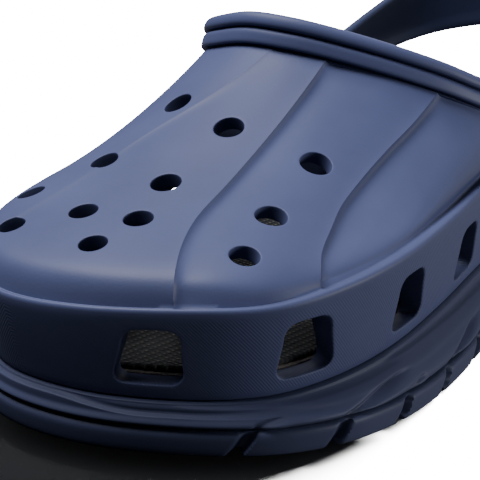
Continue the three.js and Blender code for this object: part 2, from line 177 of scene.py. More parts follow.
# ---------- the clog's form ----------
# Each station pairs a point of the band's top edge with the point of the foot opening's rim that the upper
# leads up to: shares of half the width, half the length, the lip height and the collar height. They run
# from the toe tip over the outer side to the heel and back over the inner side.
STATIONS = (
    (-0.3, -0.997, 0.88, -0.2, -0.29, 1), (0.11, -0.99, 0.9, 0.02, -0.283, 0.995),
    (0.54, -0.925, 0.92, 0.23, -0.242, 0.965), (0.825, -0.828, 0.915, 0.45, -0.18, 0.918),
    (0.968, -0.683, 0.93, 0.645, -0.097, 0.856), (1.022, -0.503, 0.95, 0.77, -0.007, 0.789),
    (0.986, -0.276, 0.975, 0.834, 0.103, 0.732), (0.897, 0, 1, 0.825, 0.248, 0.694),
    (0.825, 0.29, 0.97, 0.771, 0.4, 0.585), (0.79, 0.552, 0.9, 0.708, 0.58, 0.495),
    (0.717, 0.772, 0.83, 0.637, 0.758, 0.45), (0.466, 0.938, 0.79, 0.421, 0.91, 0.43),
    (0.072, 1, 0.785, 0.072, 0.966, 0.43), (-0.323, 0.938, 0.79, -0.278, 0.91, 0.43),
    (-0.556, 0.772, 0.83, -0.484, 0.758, 0.45), (-0.628, 0.566, 0.9, -0.556, 0.593, 0.495),
    (-0.673, 0.331, 0.97, -0.619, 0.434, 0.575), (-0.744, 0.083, 1, -0.7, 0.276, 0.688),
    (-0.843, -0.152, 1, -0.73, 0.172, 0.72), (-0.888, -0.379, 1, -0.74, 0.066, 0.77),
    (-0.924, -0.579, 1, -0.735, -0.034, 0.828), (-0.915, -0.731, 0.97, -0.69, -0.124, 0.884),
    (-0.825, -0.855, 0.93, -0.59, -0.2, 0.932), (-0.61, -0.952, 0.9, -0.42, -0.262, 0.97),
)
COUNT = len(STATIONS)
SEAM = 0.3  # gap between pieces that lie on each other
FINE_STATIONS = np.linspace(-COUNT / 2, COUNT / 2, 2401)  # where the band's length is measured


class Form:
    """Outlines and surfaces in millimetres; s counts stations round the shoe from the toe tip."""

    def __init__(self, sizes):
        self.half_length = sizes.shoe_length / MM / 2
        self.half_width = sizes.shoe_width / MM / 2
        self.lip_height = sizes.lip_height / MM
        self.collar_height = sizes.collar_height / MM
        self.wall = sizes.wall / MM
        self.outsole_depth = sizes.outsole_depth / MM
        self.midsole_top = sizes.midsole_top / MM
        self.toe_spring = sizes.toe_spring / MM
        row = (self.half_width, self.half_length, self.lip_height,
               self.half_width, self.half_length, self.collar_height)
        self.table = np.array(STATIONS) * row

    def station(self, s):
        s = np.asarray(s, float)
        i = np.floor(s).astype(int)
        f = (s - i)[..., None]
        a, b, c, d = (self.table[(i + k) % COUNT] for k in (-1, 0, 1, 2))
        return 0.5 * (2 * b + (c - a) * f + (2 * a - 5 * b + 4 * c - d) * f * f
                      + (3 * b - a - 3 * c + d) * f ** 3)

    def lip(self, s):
        return self.station(s)[..., :3]

    def rim(self, s):
        return self.station(s)[..., 3:]

    def outward(self, curve, s):
        step = 0.05
        t = curve(s + step) - curve(s - step)
        return unit(np.stack([t[..., 1], -t[..., 0], 0 * t[..., 0]], -1))

    def beside(self, s, out, z):
        p = self.lip(s) + self.outward(self.lip, s) * np.asarray(out)[..., None]
        p[..., 2] = z
        return p

    def travel(self, s):
        """Distance along the band's top edge from the toe tip, growing towards the heel on both sides."""
        p = self.lip(FINE_STATIONS)
        gone = np.concatenate([[0], np.cumsum(np.linalg.norm(np.diff(p, axis=0), axis=1))])
        gone -= np.interp(0, FINE_STATIONS, gone)
        wrapped = (np.asarray(s) + COUNT / 2) % COUNT - COUNT / 2
        return np.interp(wrapped, FINE_STATIONS, gone)

    def station_at(self, distance):
        within = FINE_STATIONS[1:-1]
        return np.interp(distance, self.travel(within), within)

    def toe_share(self, s):
        return ramp(-0.655 * self.half_length, -0.965 * self.half_length, self.lip(s)[..., 1])

    def spring(self, y):
        return self.toe_spring * ramp(-0.25, -0.92, y / self.half_length)

    def band_foot(self, s):
        return 4 + 1.5 * self.toe_share(s)

    def inner_band(self, s):
        return -self.band_foot(s) - self.wall

    def sole_edge(self, s):
        return mix(3.2, -3.0, self.toe_share(s))

    def back_share(self, start, end, y):
        return ramp(start * self.half_length, end * self.half_length, y)

    def collar_depth(self, s):
        return mix(3, 9.5, self.back_share(0.52, 0.07, self.rim(s)[..., 1])) * self.collar_height / 97

    def gutter(self, s):
        wide = mix(1.5, 4, self.back_share(0.45, 0.1, self.lip(s)[..., 1]))
        return wide * mix(1, 0.5, self.toe_share(s))

    def collar_step(self, s):
        return mix(0.6, 2.5, self.back_share(0.52, 0.1, self.rim(s)[..., 1]))

    def sweep_up(self, s, t, start, end, share):
        reach = np.linalg.norm((end - start)[..., :2], axis=-1)
        rise = end[..., 2] - start[..., 2]
        facing = clamp(-self.outward(self.lip, s)[..., 1])
        inner = ramp(15, -35, self.lip(s)[..., 0])
        height = (1.5 + 9.7 * facing + 4.2 * inner * (1 - facing)) * ramp(8, 50, reach) * share
        shoulder = np.minimum(height * self.lip_height / 50, rise * 0.6)
        curls = mix(4.6, 9, facing), 1.1
        soft, crisp = ((1 - np.exp(-t * reach / curl)) / (1 - np.exp(-reach / curl)) for curl in curls)
        quick = mix(soft, crisp, 0.5 * facing)
        power = mix(1.24, 1.86, ramp(40, 100, reach))
        p = mix(start, end, t)
        p[..., 2] = start[..., 2] + shoulder * quick + (rise - shoulder) * t ** power
        return p

    def vamp(self, s, t, inside=False):
        sink = 1.0 if inside else 0.0
        lip_z = self.lip(s)[..., 2]
        start = self.beside(s, -self.gutter(s) - 0.85 * self.wall * sink, lip_z + mix(0.3, -2.5, sink))
        step = self.collar_step(s) - 0.95 * self.wall * sink
        end = self.rim(s) + self.outward(self.rim, s) * step[..., None]
        end[..., 2] -= self.collar_depth(s) + 1.5 * sink
        return self.sweep_up(s, t, start, end, mix(1, 0.92, sink))


# ---------- meshes ----------
def add_object(name, points, faces, materials, smooth=True):
    mesh = bpy.data.meshes.new(name)
    mesh.from_pydata((np.asarray(points) * MM).tolist(), [], faces)
    mesh.validate()
    mesh.shade_smooth() if smooth else mesh.shade_flat()
    for material in materials:
        mesh.materials.append(material)
    piece = bpy.data.objects.new(name, mesh)
    bpy.context.scene.collection.objects.link(piece)
    return piece


def give_lay(piece, values):
    """The "lay" attribute: distance round the shoe and height in millimetres, and a pattern's share."""
    layer = piece.data.attributes.new("lay", "FLOAT_VECTOR", "POINT")
    layer.data.foreach_set("vector", np.asarray(values, dtype=np.float32).ravel())


def sharpen(piece, degrees):
    """Edges that turn by more than the angle are kept crisp."""
    piece.data.set_sharp_from_angle(angle=math.radians(degrees))


class Net:
    """A net of points, closed round its columns and, where it is a ring, its rows, that can be pierced."""

    def __init__(self, points, lay, ring):
        self.points = points
        self.lay = lay
        self.rows, self.columns = points.shape[:2]
        self.ring = ring
        bands = self.rows if ring else self.rows - 1
        self.kept = np.ones((bands, self.columns), bool)
        self.more = []
        self.more_lay = []
        self.faces = []

    def index(self, row, column):
        return (row % self.rows) * self.columns + column % self.columns

    def add(self, points, lay):
        first = self.points.shape[0] * self.points.shape[1] + sum(len(p) for p in self.more)
        self.more.append(points)
        self.more_lay.append(lay)
        return np.arange(first, first + len(points))

    def sample(self, row, column):
        """Position, lay and the two slopes of the net at fractional rows and columns."""
        j = np.floor(row).astype(int)
        i = np.floor(column).astype(int)
        fj = (row - j)[:, None]
        fi = (column - i)[:, None]
        corner = [(self.points[(j + a) % self.rows, (i + b) % self.columns],
                   self.lay[(j + a) % self.rows, (i + b) % self.columns]) for a in (0, 1) for b in (0, 1)]
        (p00, l00), (p01, l01), (p10, l10), (p11, l11) = corner
        point = mix(mix(p00, p01, fi), mix(p10, p11, fi), fj)
        lay = mix(mix(l00, l01, fi), mix(l10, l11, fi), fj)
        return point, lay, mix(p10, p11, fi) - mix(p00, p01, fi), mix(p01 - p00, p11 - p10, fj)

    def settle(self, xy, place, start):
        """The net's points that lie under plane coordinates xy of a place."""
        origin, across, up = place
        row = np.full(len(xy), float(start[0]))
        column = np.full(len(xy), float(start[1]))
        for _ in range(30):
            point, _, by_row, by_column = self.sample(row, column)
            miss = xy - np.stack([(point - origin) @ across, (point - origin) @ up], 1)
            a, b = by_column @ across, by_row @ across
            c, d = by_column @ up, by_row @ up
            det = a * d - b * c
            det = np.where(np.abs(det) < 1e-6, 1e-6, det)
            row = row + np.clip((a * miss[:, 1] - c * miss[:, 0]) / det, -1.5, 1.5)
            column = column + np.clip((d * miss[:, 0] - b * miss[:, 1]) / det, -1.5, 1.5)
        point, lay, _, _ = self.sample(row, column)
        return point, lay

    def mouth(self, rows, place, axis, outline, round_over, facing):
        """Opens the net over an outline and rounds its edge over; gives the edge loop's indices."""
        origin, across, up = place
        window = self.points[rows[0]:rows[1]]
        local = window - origin
        x, y, deep = local @ across, local @ up, local @ axis
        grown = outline(np.arctan2(y, x)) + round_over + 1.3
        inside = (np.hypot(x, y) < grown) & (np.abs(deep) < 16) & (facing * deep > -11)
        js, cs = np.nonzero(inside)
        middle = cs[np.argmin(np.hypot(x, y)[js, cs])]
        cs = (cs - middle + self.columns // 2) % self.columns - self.columns // 2 + middle
        j0, j1 = rows[0] + js.min() - 1, rows[0] + js.max() + 1
        i0, i1 = cs.min() - 1, cs.max() + 1
        self.kept[j0:j1, np.arange(i0, i1) % self.columns] = False
        edge = ([(j0, i) for i in range(i0, i1)] + [(j, i1) for j in range(j0, j1)]
                + [(j1, i) for i in range(i1, i0, -1)] + [(j, i0) for j in range(j1, j0, -1)])
        outer = np.array([self.index(j, i) for j, i in edge])
        flat = self.points.reshape(-1, 3)[outer] - origin
        angles = np.arctan2(flat @ up, flat @ across)
        count = 56
        turn = np.arange(count) / count * 2 * math.pi - math.pi
        ray = np.stack([np.cos(turn), np.sin(turn)], 1)
        seat = ((j0 + j1) / 2, (i0 + i1) / 2)
        loops = []
        for grow, drop in ((round_over + 0.7, 0), (round_over, 0), (round_over * 0.62, round_over * 0.08),
                           (round_over * 0.29, round_over * 0.29), (0.08 * round_over, round_over * 0.62),
                           (0, round_over)):
            point, lay = self.settle(ray * (outline(turn) + grow)[:, None], place, seat)
            loops.append(self.add(point - facing * drop * axis, lay))
        self.zip(outer, angles, loops[0], turn, facing)
        for a, b in zip(loops, loops[1:]):
            self.join(a, b, facing)
        return loops[-1]

    def zip(self, outer, angles, inner, turn, facing):
        """Triangles between two loops with different counts, matched by angle."""
        if (np.angle(np.exp(1j * np.diff(angles)))).sum() < 0:
            outer, angles = outer[::-1], angles[::-1]
        first = int(np.argmin(angles))
        outer, angles = np.roll(outer, -first), np.unwrap(np.roll(angles, -first))
        a, b = len(outer), len(inner)
        i = j = 0
        while i < a or j < b:
            next_a = angles[i + 1] if i + 1 < a else angles[0] + 2 * math.pi
            next_b = turn[j + 1] if j + 1 < b else turn[0] + 2 * math.pi
            if j >= b or (i < a and next_a <= next_b):
                face = (outer[i % a], outer[(i + 1) % a], inner[j % b])
                i += 1
            else:
                face = (outer[i % a], inner[(j + 1) % b], inner[j % b])
                j += 1
            self.faces.append(face if facing > 0 else face[::-1])

    def join(self, a, b, facing):
        for k in range(len(a)):
            n = (k + 1) % len(a)
            face = (a[k], a[n], b[n], b[k])
            self.faces.append(face if facing > 0 else face[::-1])

    def pierce(self, outside, inside, place, outline, round_over=0.55):
        """A hole along the axis of a place from the outside rows to the inside rows."""
        axis = np.cross(place[1], place[2])
        a = self.mouth(outside, place, axis, outline, round_over, 1)
        b = self.mouth(inside, place, axis, outline, round_over, -1)
        points = np.concatenate([self.points.reshape(-1, 3), *self.more])
        lays = np.concatenate([self.lay.reshape(-1, 3), *self.more_lay])
        steps = 3
        last = a
        for k in range(1, steps):
            share = k / steps
            loop = self.add(mix(points[a], points[b], share), mix(lays[a], lays[b], share))
            self.join(last, loop, 1)
            last = loop
        self.join(last, b, 1)

    def build(self, name, materials):
        j, i = np.nonzero(self.kept)
        quads = np.stack([self.index(j, i), self.index(j, i + 1), self.index(j + 1, i + 1),
                          self.index(j + 1, i)], 1)
        points = np.concatenate([self.points.reshape(-1, 3), *self.more])
        lays = np.concatenate([self.lay.reshape(-1, 3), *self.more_lay])
        faces = quads.tolist() + [tuple(int(v) for v in f) for f in self.faces]
        used = np.zeros(len(points), bool)
        used[np.concatenate([np.ravel(f) for f in (quads, *map(np.array, self.faces))])] = True
        fresh = np.cumsum(used) - 1
        piece = add_object(name, points[used], [[int(fresh[v]) for v in f] for f in faces], materials)
        give_lay(piece, lays[used])
        return piece


def net_normals(points, ring):
    """Unit normals of a net, outward where its rows rise on the outer side."""
    along = np.roll(points, -1, 1) - np.roll(points, 1, 1)
    if ring:
        rising = np.roll(points, -1, 0) - np.roll(points, 1, 0)
    else:
        rising = np.gradient(points, axis=0)
    return unit(np.cross(along, rising))


def slab(name, loops, lay, rungs, floor, lid, materials):
    """A closed slab with sides through loops, bottom first, and a ladder of faces on its floor and lid."""
    columns = loops.shape[1]
    j, i = np.meshgrid(np.arange(len(loops) - 1), np.arange(columns), indexing="ij")
    k = (i + 1) % columns
    sides = np.stack([j * columns + i, j * columns + k, (j + 1) * columns + k, (j + 1) * columns + i], -1)
    faces = sides.reshape(-1, 4).tolist()
    flat = np.concatenate(loops)
    lays = np.asarray(lay).reshape(-1, 3)
    half = columns // 2
    for first, height, up in ((0, floor, False), ((len(loops) - 1) * columns, lid, True)):
        i = np.arange(1, half)
        a, b = flat[first + i], flat[first + columns - i]
        share = np.arange(1, rungs) / rungs
        inner = mix(a[:, None], b[:, None], share[None, :, None])
        inner[..., 2] = height(inner, share[None, :])
        start = len(flat)
        rows = np.concatenate([(first + i)[:, None],
                               start + np.arange(inner.shape[0] * inner.shape[1]).reshape(inner.shape[:2]),
                               (first + columns - i)[:, None]], 1)
        flat = np.concatenate([flat, inner.reshape(-1, 3)])
        inner_lay = np.stack([inner[..., 0], inner[..., 1], 0 * inner[..., 0]], -1)
        lays = np.concatenate([lays, inner_lay.reshape(-1, 3)])
        quads = np.stack([rows[:-1, :-1], rows[1:, :-1], rows[1:, 1:], rows[:-1, 1:]], -1).reshape(-1, 4)
        caps = [(first, rows[0, k], rows[0, k + 1]) for k in range(rungs)]
        caps += [(first + half, rows[-1, k + 1], rows[-1, k]) for k in range(rungs)]
        found = quads.tolist() + [tuple(int(v) for v in c) for c in caps]
        faces += found if up else [f[::-1] for f in found]
    piece = add_object(name, flat, faces, materials)
    give_lay(piece, lays)
    return piece


# ---------- materials ----------
def linear(colour):
    """sRGB shares to linear light."""
    return [c / 12.92 if c <= 0.04045 else ((c + 0.055) / 1.055) ** 2.4 for c in colour]


def hexed(code):
    return [int(code[k:k + 2], 16) / 255 for k in (0, 2, 4)]


def shaded(colour, factor):
    return (*[factor * c for c in linear(colour)], 1)


def add_node(tree, kind, settings=None, inputs=None, links=None):
    """Adds a node, sets its properties and inputs, and links inputs to other nodes' outputs."""
    node = tree.nodes.new(kind)
    for key, value in (settings or {}).items():
        setattr(node, key, value)
    for key, value in (inputs or {}).items():
        node.inputs[key].default_value = value
    for key, socket in (links or {}).items():
        tree.links.new(socket, node.inputs[key])
    return node


def new_material(name):
    material = bpy.data.materials.new(name)
    material.use_nodes = True
    tree = material.node_tree
    tree.nodes.clear()
    shader = add_node(tree, "ShaderNodeBsdfPrincipled")
    output = add_node(tree, "ShaderNodeOutputMaterial")
    tree.links.new(shader.outputs[0], output.inputs[0])
    return material, tree, shader


def moulded_foam(name, colour, roughness, knurl_depth, grain_depth=0.05):
    """Closed-cell EVA foam from an etched mould: satin, with a fine grain, slight clouding and dust.

    The mould's skin gives a soft wide highlight; a knurl of crossed lines fills the band, masked by "lay".
    """
    material, tree, shader = new_material(name)
    place = add_node(tree, "ShaderNodeTexCoord").outputs["Object"]
    cloud = add_node(tree, "ShaderNodeTexNoise", inputs={"Scale": 45, "Detail": 4}, links={"Vector": place})
    tone = add_node(tree, "ShaderNodeMix", {"data_type": "RGBA"},
                    {"A": shaded(colour, 0.86), "B": shaded(colour, 1.14)}, {"Factor": cloud.outputs["Fac"]})
    # dust: rare soft specks, under 1 mm across
    cells = add_node(tree, "ShaderNodeTexVoronoi", {"feature": "F1"}, {"Scale": 120, "Randomness": 1},
                     {"Vector": place})
    speck = add_node(tree, "ShaderNodeMapRange", None,
                     {"From Min": 0.02, "From Max": 0.06, "To Min": 0.55, "To Max": 0},
                     {"Value": cells.outputs["Distance"]})
    rare = add_node(tree, "ShaderNodeMath", {"operation": "GREATER_THAN"}, {1: 0.93},
                    {0: cells.outputs["Color"]})
    dust = add_node(tree, "ShaderNodeMath", {"operation": "MULTIPLY"}, None,
                    {0: speck.outputs["Result"], 1: rare.outputs[0]})
    dusted = add_node(tree, "ShaderNodeMix", {"data_type": "RGBA"}, {"B": (*linear(hexed("9AA3B8")), 1)},
                      {"Factor": dust.outputs[0], "A": tone.outputs["Result"]})
    tree.links.new(dusted.outputs["Result"], shader.inputs["Base Color"])
    # mould etch: grains of 0.35 mm, drawn at 0.7 mm so that they show
    grain = add_node(tree, "ShaderNodeTexNoise", inputs={"Scale": 1400, "Detail": 2}, links={"Vector": place})
    worn = add_node(tree, "ShaderNodeMapRange", None,
                    {"To Min": roughness - 0.06, "To Max": roughness + 0.08}, {"Value": cloud.outputs["Fac"]})
    tree.links.new(worn.outputs["Result"], shader.inputs["Roughness"])
    height = grain.outputs["Fac"]
    if knurl_depth:
        lay = add_node(tree, "ShaderNodeAttribute", {"attribute_name": "lay"})
        part = add_node(tree, "ShaderNodeSeparateXYZ", links={"Vector": lay.outputs["Vector"]})
        waves = []
        for lean in (0.9, -1.6):
            slant = add_node(tree, "ShaderNodeMath", {"operation": "MULTIPLY_ADD"}, {1: lean},
                             {0: part.outputs["Y"], 2: part.outputs["X"]})
            # lines 0.9 mm apart along the band
            phase = add_node(tree, "ShaderNodeMath", {"operation": "MULTIPLY"}, {1: 2 * math.pi / 0.9},
                             {0: slant.outputs[0]})
            waves.append(add_node(tree, "ShaderNodeMath", {"operation": "SINE"}, None, {0: phase.outputs[0]}))
        pins = add_node(tree, "ShaderNodeMath", {"operation": "MULTIPLY_ADD"}, {1: 0.35},
                        {0: waves[1].outputs[0], 2: waves[0].outputs[0]})
        masked = add_node(tree, "ShaderNodeMath", {"operation": "MULTIPLY"}, None,
                          {0: pins.outputs[0], 1: part.outputs["Z"]})
        both = add_node(tree, "ShaderNodeMath", {"operation": "MULTIPLY_ADD"}, {1: knurl_depth},
                        {0: masked.outputs[0], 2: height})
        height = both.outputs[0]
    bump = add_node(tree, "ShaderNodeBump", inputs={"Strength": 0.55, "Distance": grain_depth * MM},
                    links={"Height": height})
    tree.links.new(bump.outputs[0], shader.inputs["Normal"])
    shader.inputs["IOR"].default_value = 1.45
    shader.inputs["Specular IOR Level"].default_value = 0.22
    return material


def footbed_cloth(name):
    """Knitted polyester cloth bonded to the footbed: dull, with slanted ribs of pale yarn specks."""
    material, tree, shader = new_material(name)
    place = add_node(tree, "ShaderNodeTexCoord").outputs["Object"]
    turned = add_node(tree, "ShaderNodeMapping", inputs={"Rotation": (0, 0, math.radians(-80))},
                      links={"Vector": place})
    # ribs 2.4 mm apart, with a pale stitch every 1.5 mm along each
    part = add_node(tree, "ShaderNodeSeparateXYZ", links={"Vector": turned.outputs[0]})
    rib = add_node(tree, "ShaderNodeMath", {"operation": "MULTIPLY"}, {1: 2 * math.pi / 0.0024},
                   {0: part.outputs["Y"]})
    rib = add_node(tree, "ShaderNodeMath", {"operation": "SINE"}, None, {0: rib.outputs[0]})
    run = add_node(tree, "ShaderNodeMath", {"operation": "MULTIPLY"}, {1: 2 * math.pi / 0.0015},
                   {0: part.outputs["X"]})
    run = add_node(tree, "ShaderNodeMath", {"operation": "SINE"}, None, {0: run.outputs[0]})
    stitch = add_node(tree, "ShaderNodeMath", {"operation": "MULTIPLY_ADD"}, {1: 0.55},
                      {0: run.outputs[0], 2: rib.outputs[0]})
    yarn = add_node(tree, "ShaderNodeTexNoise", inputs={"Scale": 900, "Detail": 3}, links={"Vector": place})
    uneven = add_node(tree, "ShaderNodeMath", {"operation": "MULTIPLY_ADD"}, {1: 1.6},
                      {0: yarn.outputs["Fac"], 2: stitch.outputs[0]})
    pale = add_node(tree, "ShaderNodeMapRange", inputs={"From Min": 1.75, "From Max": 2.3},
                    links={"Value": uneven.outputs[0]})
    tone = add_node(tree, "ShaderNodeMix", {"data_type": "RGBA"},
                    {"A": (*linear(hexed("212329")), 1), "B": (*linear(hexed("77736A")), 1)},
                    {"Factor": pale.outputs["Result"]})
    tree.links.new(tone.outputs["Result"], shader.inputs["Base Color"])
    bump = add_node(tree, "ShaderNodeBump", inputs={"Strength": 0.8, "Distance": 0.25 * MM},
                    links={"Height": uneven.outputs[0]})
    tree.links.new(bump.outputs[0], shader.inputs["Normal"])
    shader.inputs["Roughness"].default_value = 0.95
    shader.inputs["Sheen Weight"].default_value = 0.1
    return material


def cut_foam(name):
    """Die-cut open-cell EVA footbed: matt brown-grey with small pores."""
    material, tree, shader = new_material(name)
    place = add_node(tree, "ShaderNodeTexCoord").outputs["Object"]
    # pores of 0.6 mm
    pores = add_node(tree, "ShaderNodeTexVoronoi", {"feature": "F1"}, {"Scale": 1500}, {"Vector": place})
    tone = add_node(tree, "ShaderNodeMix", {"data_type": "RGBA"},
                    {"A": (*linear(hexed("3F3A3A")), 1), "B": (*linear(hexed("7A7270")), 1)},
                    {"Factor": pores.outputs["Distance"]})
    tree.links.new(tone.outputs["Result"], shader.inputs["Base Color"])
    bump = add_node(tree, "ShaderNodeBump", inputs={"Strength": 0.6, "Distance": 0.15 * MM},
                    links={"Height": pores.outputs["Distance"]})
    tree.links.new(bump.outputs[0], shader.inputs["Normal"])
    shader.inputs["Roughness"].default_value = 0.9
    return material


def moulded_nylon(name):
    """Injection-moulded nylon rivet: satin, with a faint spark-eroded grain and turned tool rings."""
    material, tree, shader = new_material(name)
    place = add_node(tree, "ShaderNodeTexCoord").outputs["Object"]
    centred = add_node(tree, "ShaderNodeMapping", {"vector_type": "TEXTURE"},
                       {"Location": [MM * v for v in PIVOT]}, {"Vector": place})
    part = add_node(tree, "ShaderNodeSeparateXYZ", links={"Vector": centred.outputs[0]})
    level = add_node(tree, "ShaderNodeCombineXYZ", links={"X": part.outputs["Y"], "Y": part.outputs["Z"]})
    radius = add_node(tree, "ShaderNodeVectorMath", {"operation": "LENGTH"}, None, {0: level.outputs[0]})
    # tool rings 0.7 mm apart
    rings = add_node(tree, "ShaderNodeMath", {"operation": "MULTIPLY"}, {1: 2 * math.pi / 0.0007},
                     {0: radius.outputs["Value"]})
    rings = add_node(tree, "ShaderNodeMath", {"operation": "SINE"}, None, {0: rings.outputs[0]})
    grain = add_node(tree, "ShaderNodeTexNoise", inputs={"Scale": 1600, "Detail": 2}, links={"Vector": place})
    tone = add_node(tree, "ShaderNodeMix", {"data_type": "RGBA"},
                    {"A": (*linear(hexed("20273F")), 1), "B": (*linear(hexed("343C5A")), 1)},
                    {"Factor": grain.outputs["Fac"]})
    tree.links.new(tone.outputs["Result"], shader.inputs["Base Color"])
    height = add_node(tree, "ShaderNodeMath", {"operation": "MULTIPLY_ADD"}, {1: 0.25},
                      {0: rings.outputs[0], 2: grain.outputs["Fac"]})
    bump = add_node(tree, "ShaderNodeBump", inputs={"Strength": 0.4, "Distance": 0.05 * MM},
                    links={"Height": height.outputs[0]})
    tree.links.new(bump.outputs[0], shader.inputs["Normal"])
    shader.inputs["Roughness"].default_value = 0.42
    shader.inputs["IOR"].default_value = 1.53
    return material


def seamless_paper(name):
    """Pale matt backdrop paper."""
    material, tree, shader = new_material(name)
    place = add_node(tree, "ShaderNodeTexCoord").outputs["Object"]
    fibre = add_node(tree, "ShaderNodeTexNoise", inputs={"Scale": 8, "Detail": 2}, links={"Vector": place})
    tone = add_node(tree, "ShaderNodeMix", {"data_type": "RGBA"},
                    {"A": (0.9, 0.9, 0.9, 1), "B": (0.93, 0.93, 0.93, 1)}, {"Factor": fibre.outputs["Fac"]})
    seen = add_node(tree, "ShaderNodeLightPath")
    shown = add_node(tree, "ShaderNodeMix", {"data_type": "RGBA"}, {"A": (0.012, 0.012, 0.012, 1)},
                     {"Factor": seen.outputs["Is Camera Ray"], "B": tone.outputs["Result"]})
    tree.links.new(shown.outputs["Result"], shader.inputs["Base Color"])
    shader.inputs["Roughness"].default_value = 0.9
    shader.inputs["Specular IOR Level"].default_value = 0.0
    return material


# ---------- upper ----------
# Share of the way up the vamp and station, along the outer, the middle and the inner ridge.
RIDGE_OUTER = ((0, 3.72), (0.06, 3.61), (0.15, 3.44), (0.3, 3.3), (0.42, 3.23), (0.55, 3.29), (0.7, 3.45),
               (0.85, 3.68), (1, 3.85))
RIDGE_MIDDLE = ((0, 1.86), (0.06, 1.78), (0.15, 1.67), (0.3, 1.55), (0.45, 1.555), (0.6, 1.59), (0.8, 1.68),
                (1, 1.8))
RIDGE_INNER = ((0, -0.95), (0.3, -0.85), (0.63, -0.49), (0.86, 0.31), (1, 0.67))
OUTER_COLUMN, MIDDLE_COLUMN, INNER_COLUMN = 3.6, 1.72, -0.3  # columns that run along the ridges
NEAR_END, FAR_END = 6.2, -3.2  # stations beyond which columns stay level

# Stations, shares of the way up and shares of the full radius of the round holes.
HOLES = (
    (-0.53, 0.766, 0.95), (-0.82, 0.48, 0.9), (-1.66, 0.214, 0.88),
    (0.93, 0.699, 0.95), (0.75, 0.443, 0.93), (0.07, 0.265, 0.88), (-0.81, 0.115, 0.82),
    (0.91, 0.267, 0.88), (0.73, 0.132, 0.84),
    (2.51, 0.602, 1), (2.37, 0.336, 0.96), (2.41, 0.133, 0.88),
)

# Profiles of the lip (share of the gutter inwards, rise) and the collar (outward, downward at full depth).
LIP = ((0, -1.7), (0.02, -1.0), (0.1, -0.42), (0.24, -0.08), (0.4, -0.05), (0.58, -0.32), (0.78, -0.55),
       (0.93, -0.35))
COLLAR = (
    (2.5, 9.75), (1.9, 9.45), (1.6, 9.15), (2.2, 8.85), (3.1, 8.75), (3.6, 8.3), (3.6, 7.5), (3.35, 6.5),
    (3.05, 5.5), (2.6, 4.8), (1.9, 4.5), (1.2, 4.25), (1.6, 3.9), (2.4, 3.6), (2.8, 3.0), (2.75, 2.1),
    (2.35, 1.1), (1.75, 0.4), (1.0, 0.05), (0.1, 0.02), (-0.9, 0.35), (-1.7, 1.1), (-2.15, 2.3),
    (-2.3, 4.0), (-2.35, 6.5),
)
VAMP_ROWS = 72
BAND_ROWS = 22
INNER_ROWS = 40
INNER_BAND_ROWS = 18


def upper_columns():
    """Column places in stations: close together in front, and closest along the ridges."""
    crowd = np.array([0, 0.012, 0.03, 0.055, 0.085, 0.125, 0.175, 0.235, 0.3, 0.37])
    ridges = (INNER_COLUMN, MIDDLE_COLUMN, OUTER_COLUMN)
    near = np.concatenate([r + np.concatenate([-crowd[:0:-1], crowd]) for r in ridges])
    plain = np.concatenate([np.arange(-7, 7, 0.075), np.arange(7, 17, 0.115)])
    free = np.all([np.abs(plain - r) > 0.41 for r in ridges], axis=0)
    return np.sort(np.concatenate([plain[free], near]))


def upper_stations(columns, t):
    """Stations of the columns at a share t of the way up, bent so that ridge columns follow their ridges."""
    marks = (-7, FAR_END, INNER_COLUMN, MIDDLE_COLUMN, OUTER_COLUMN, NEAR_END, 17)
    ridges = [through(ridge, t) for ridge in (RIDGE_INNER, RIDGE_MIDDLE, RIDGE_OUTER)]
    bent = (-7, FAR_END, *ridges, NEAR_END, 17)
    return np.interp(columns, marks, bent)


def ridge_step(off, drop, foot, fade):
    """Height against distance from a ridge: a slight crown before it, a sharp drop and a slow return."""
    beyond = np.maximum(off, 0)
    ended = ramp(1.4 * fade, 3 * fade, beyond)
    fall = drop * (1 - np.exp(-beyond / foot)) * np.exp(-beyond / fade) * (1 - ended)
    crown = 0.18 * drop * np.exp(-np.abs(off) / np.where(off < 0, 2.2, 0.7))
    return crown - fall


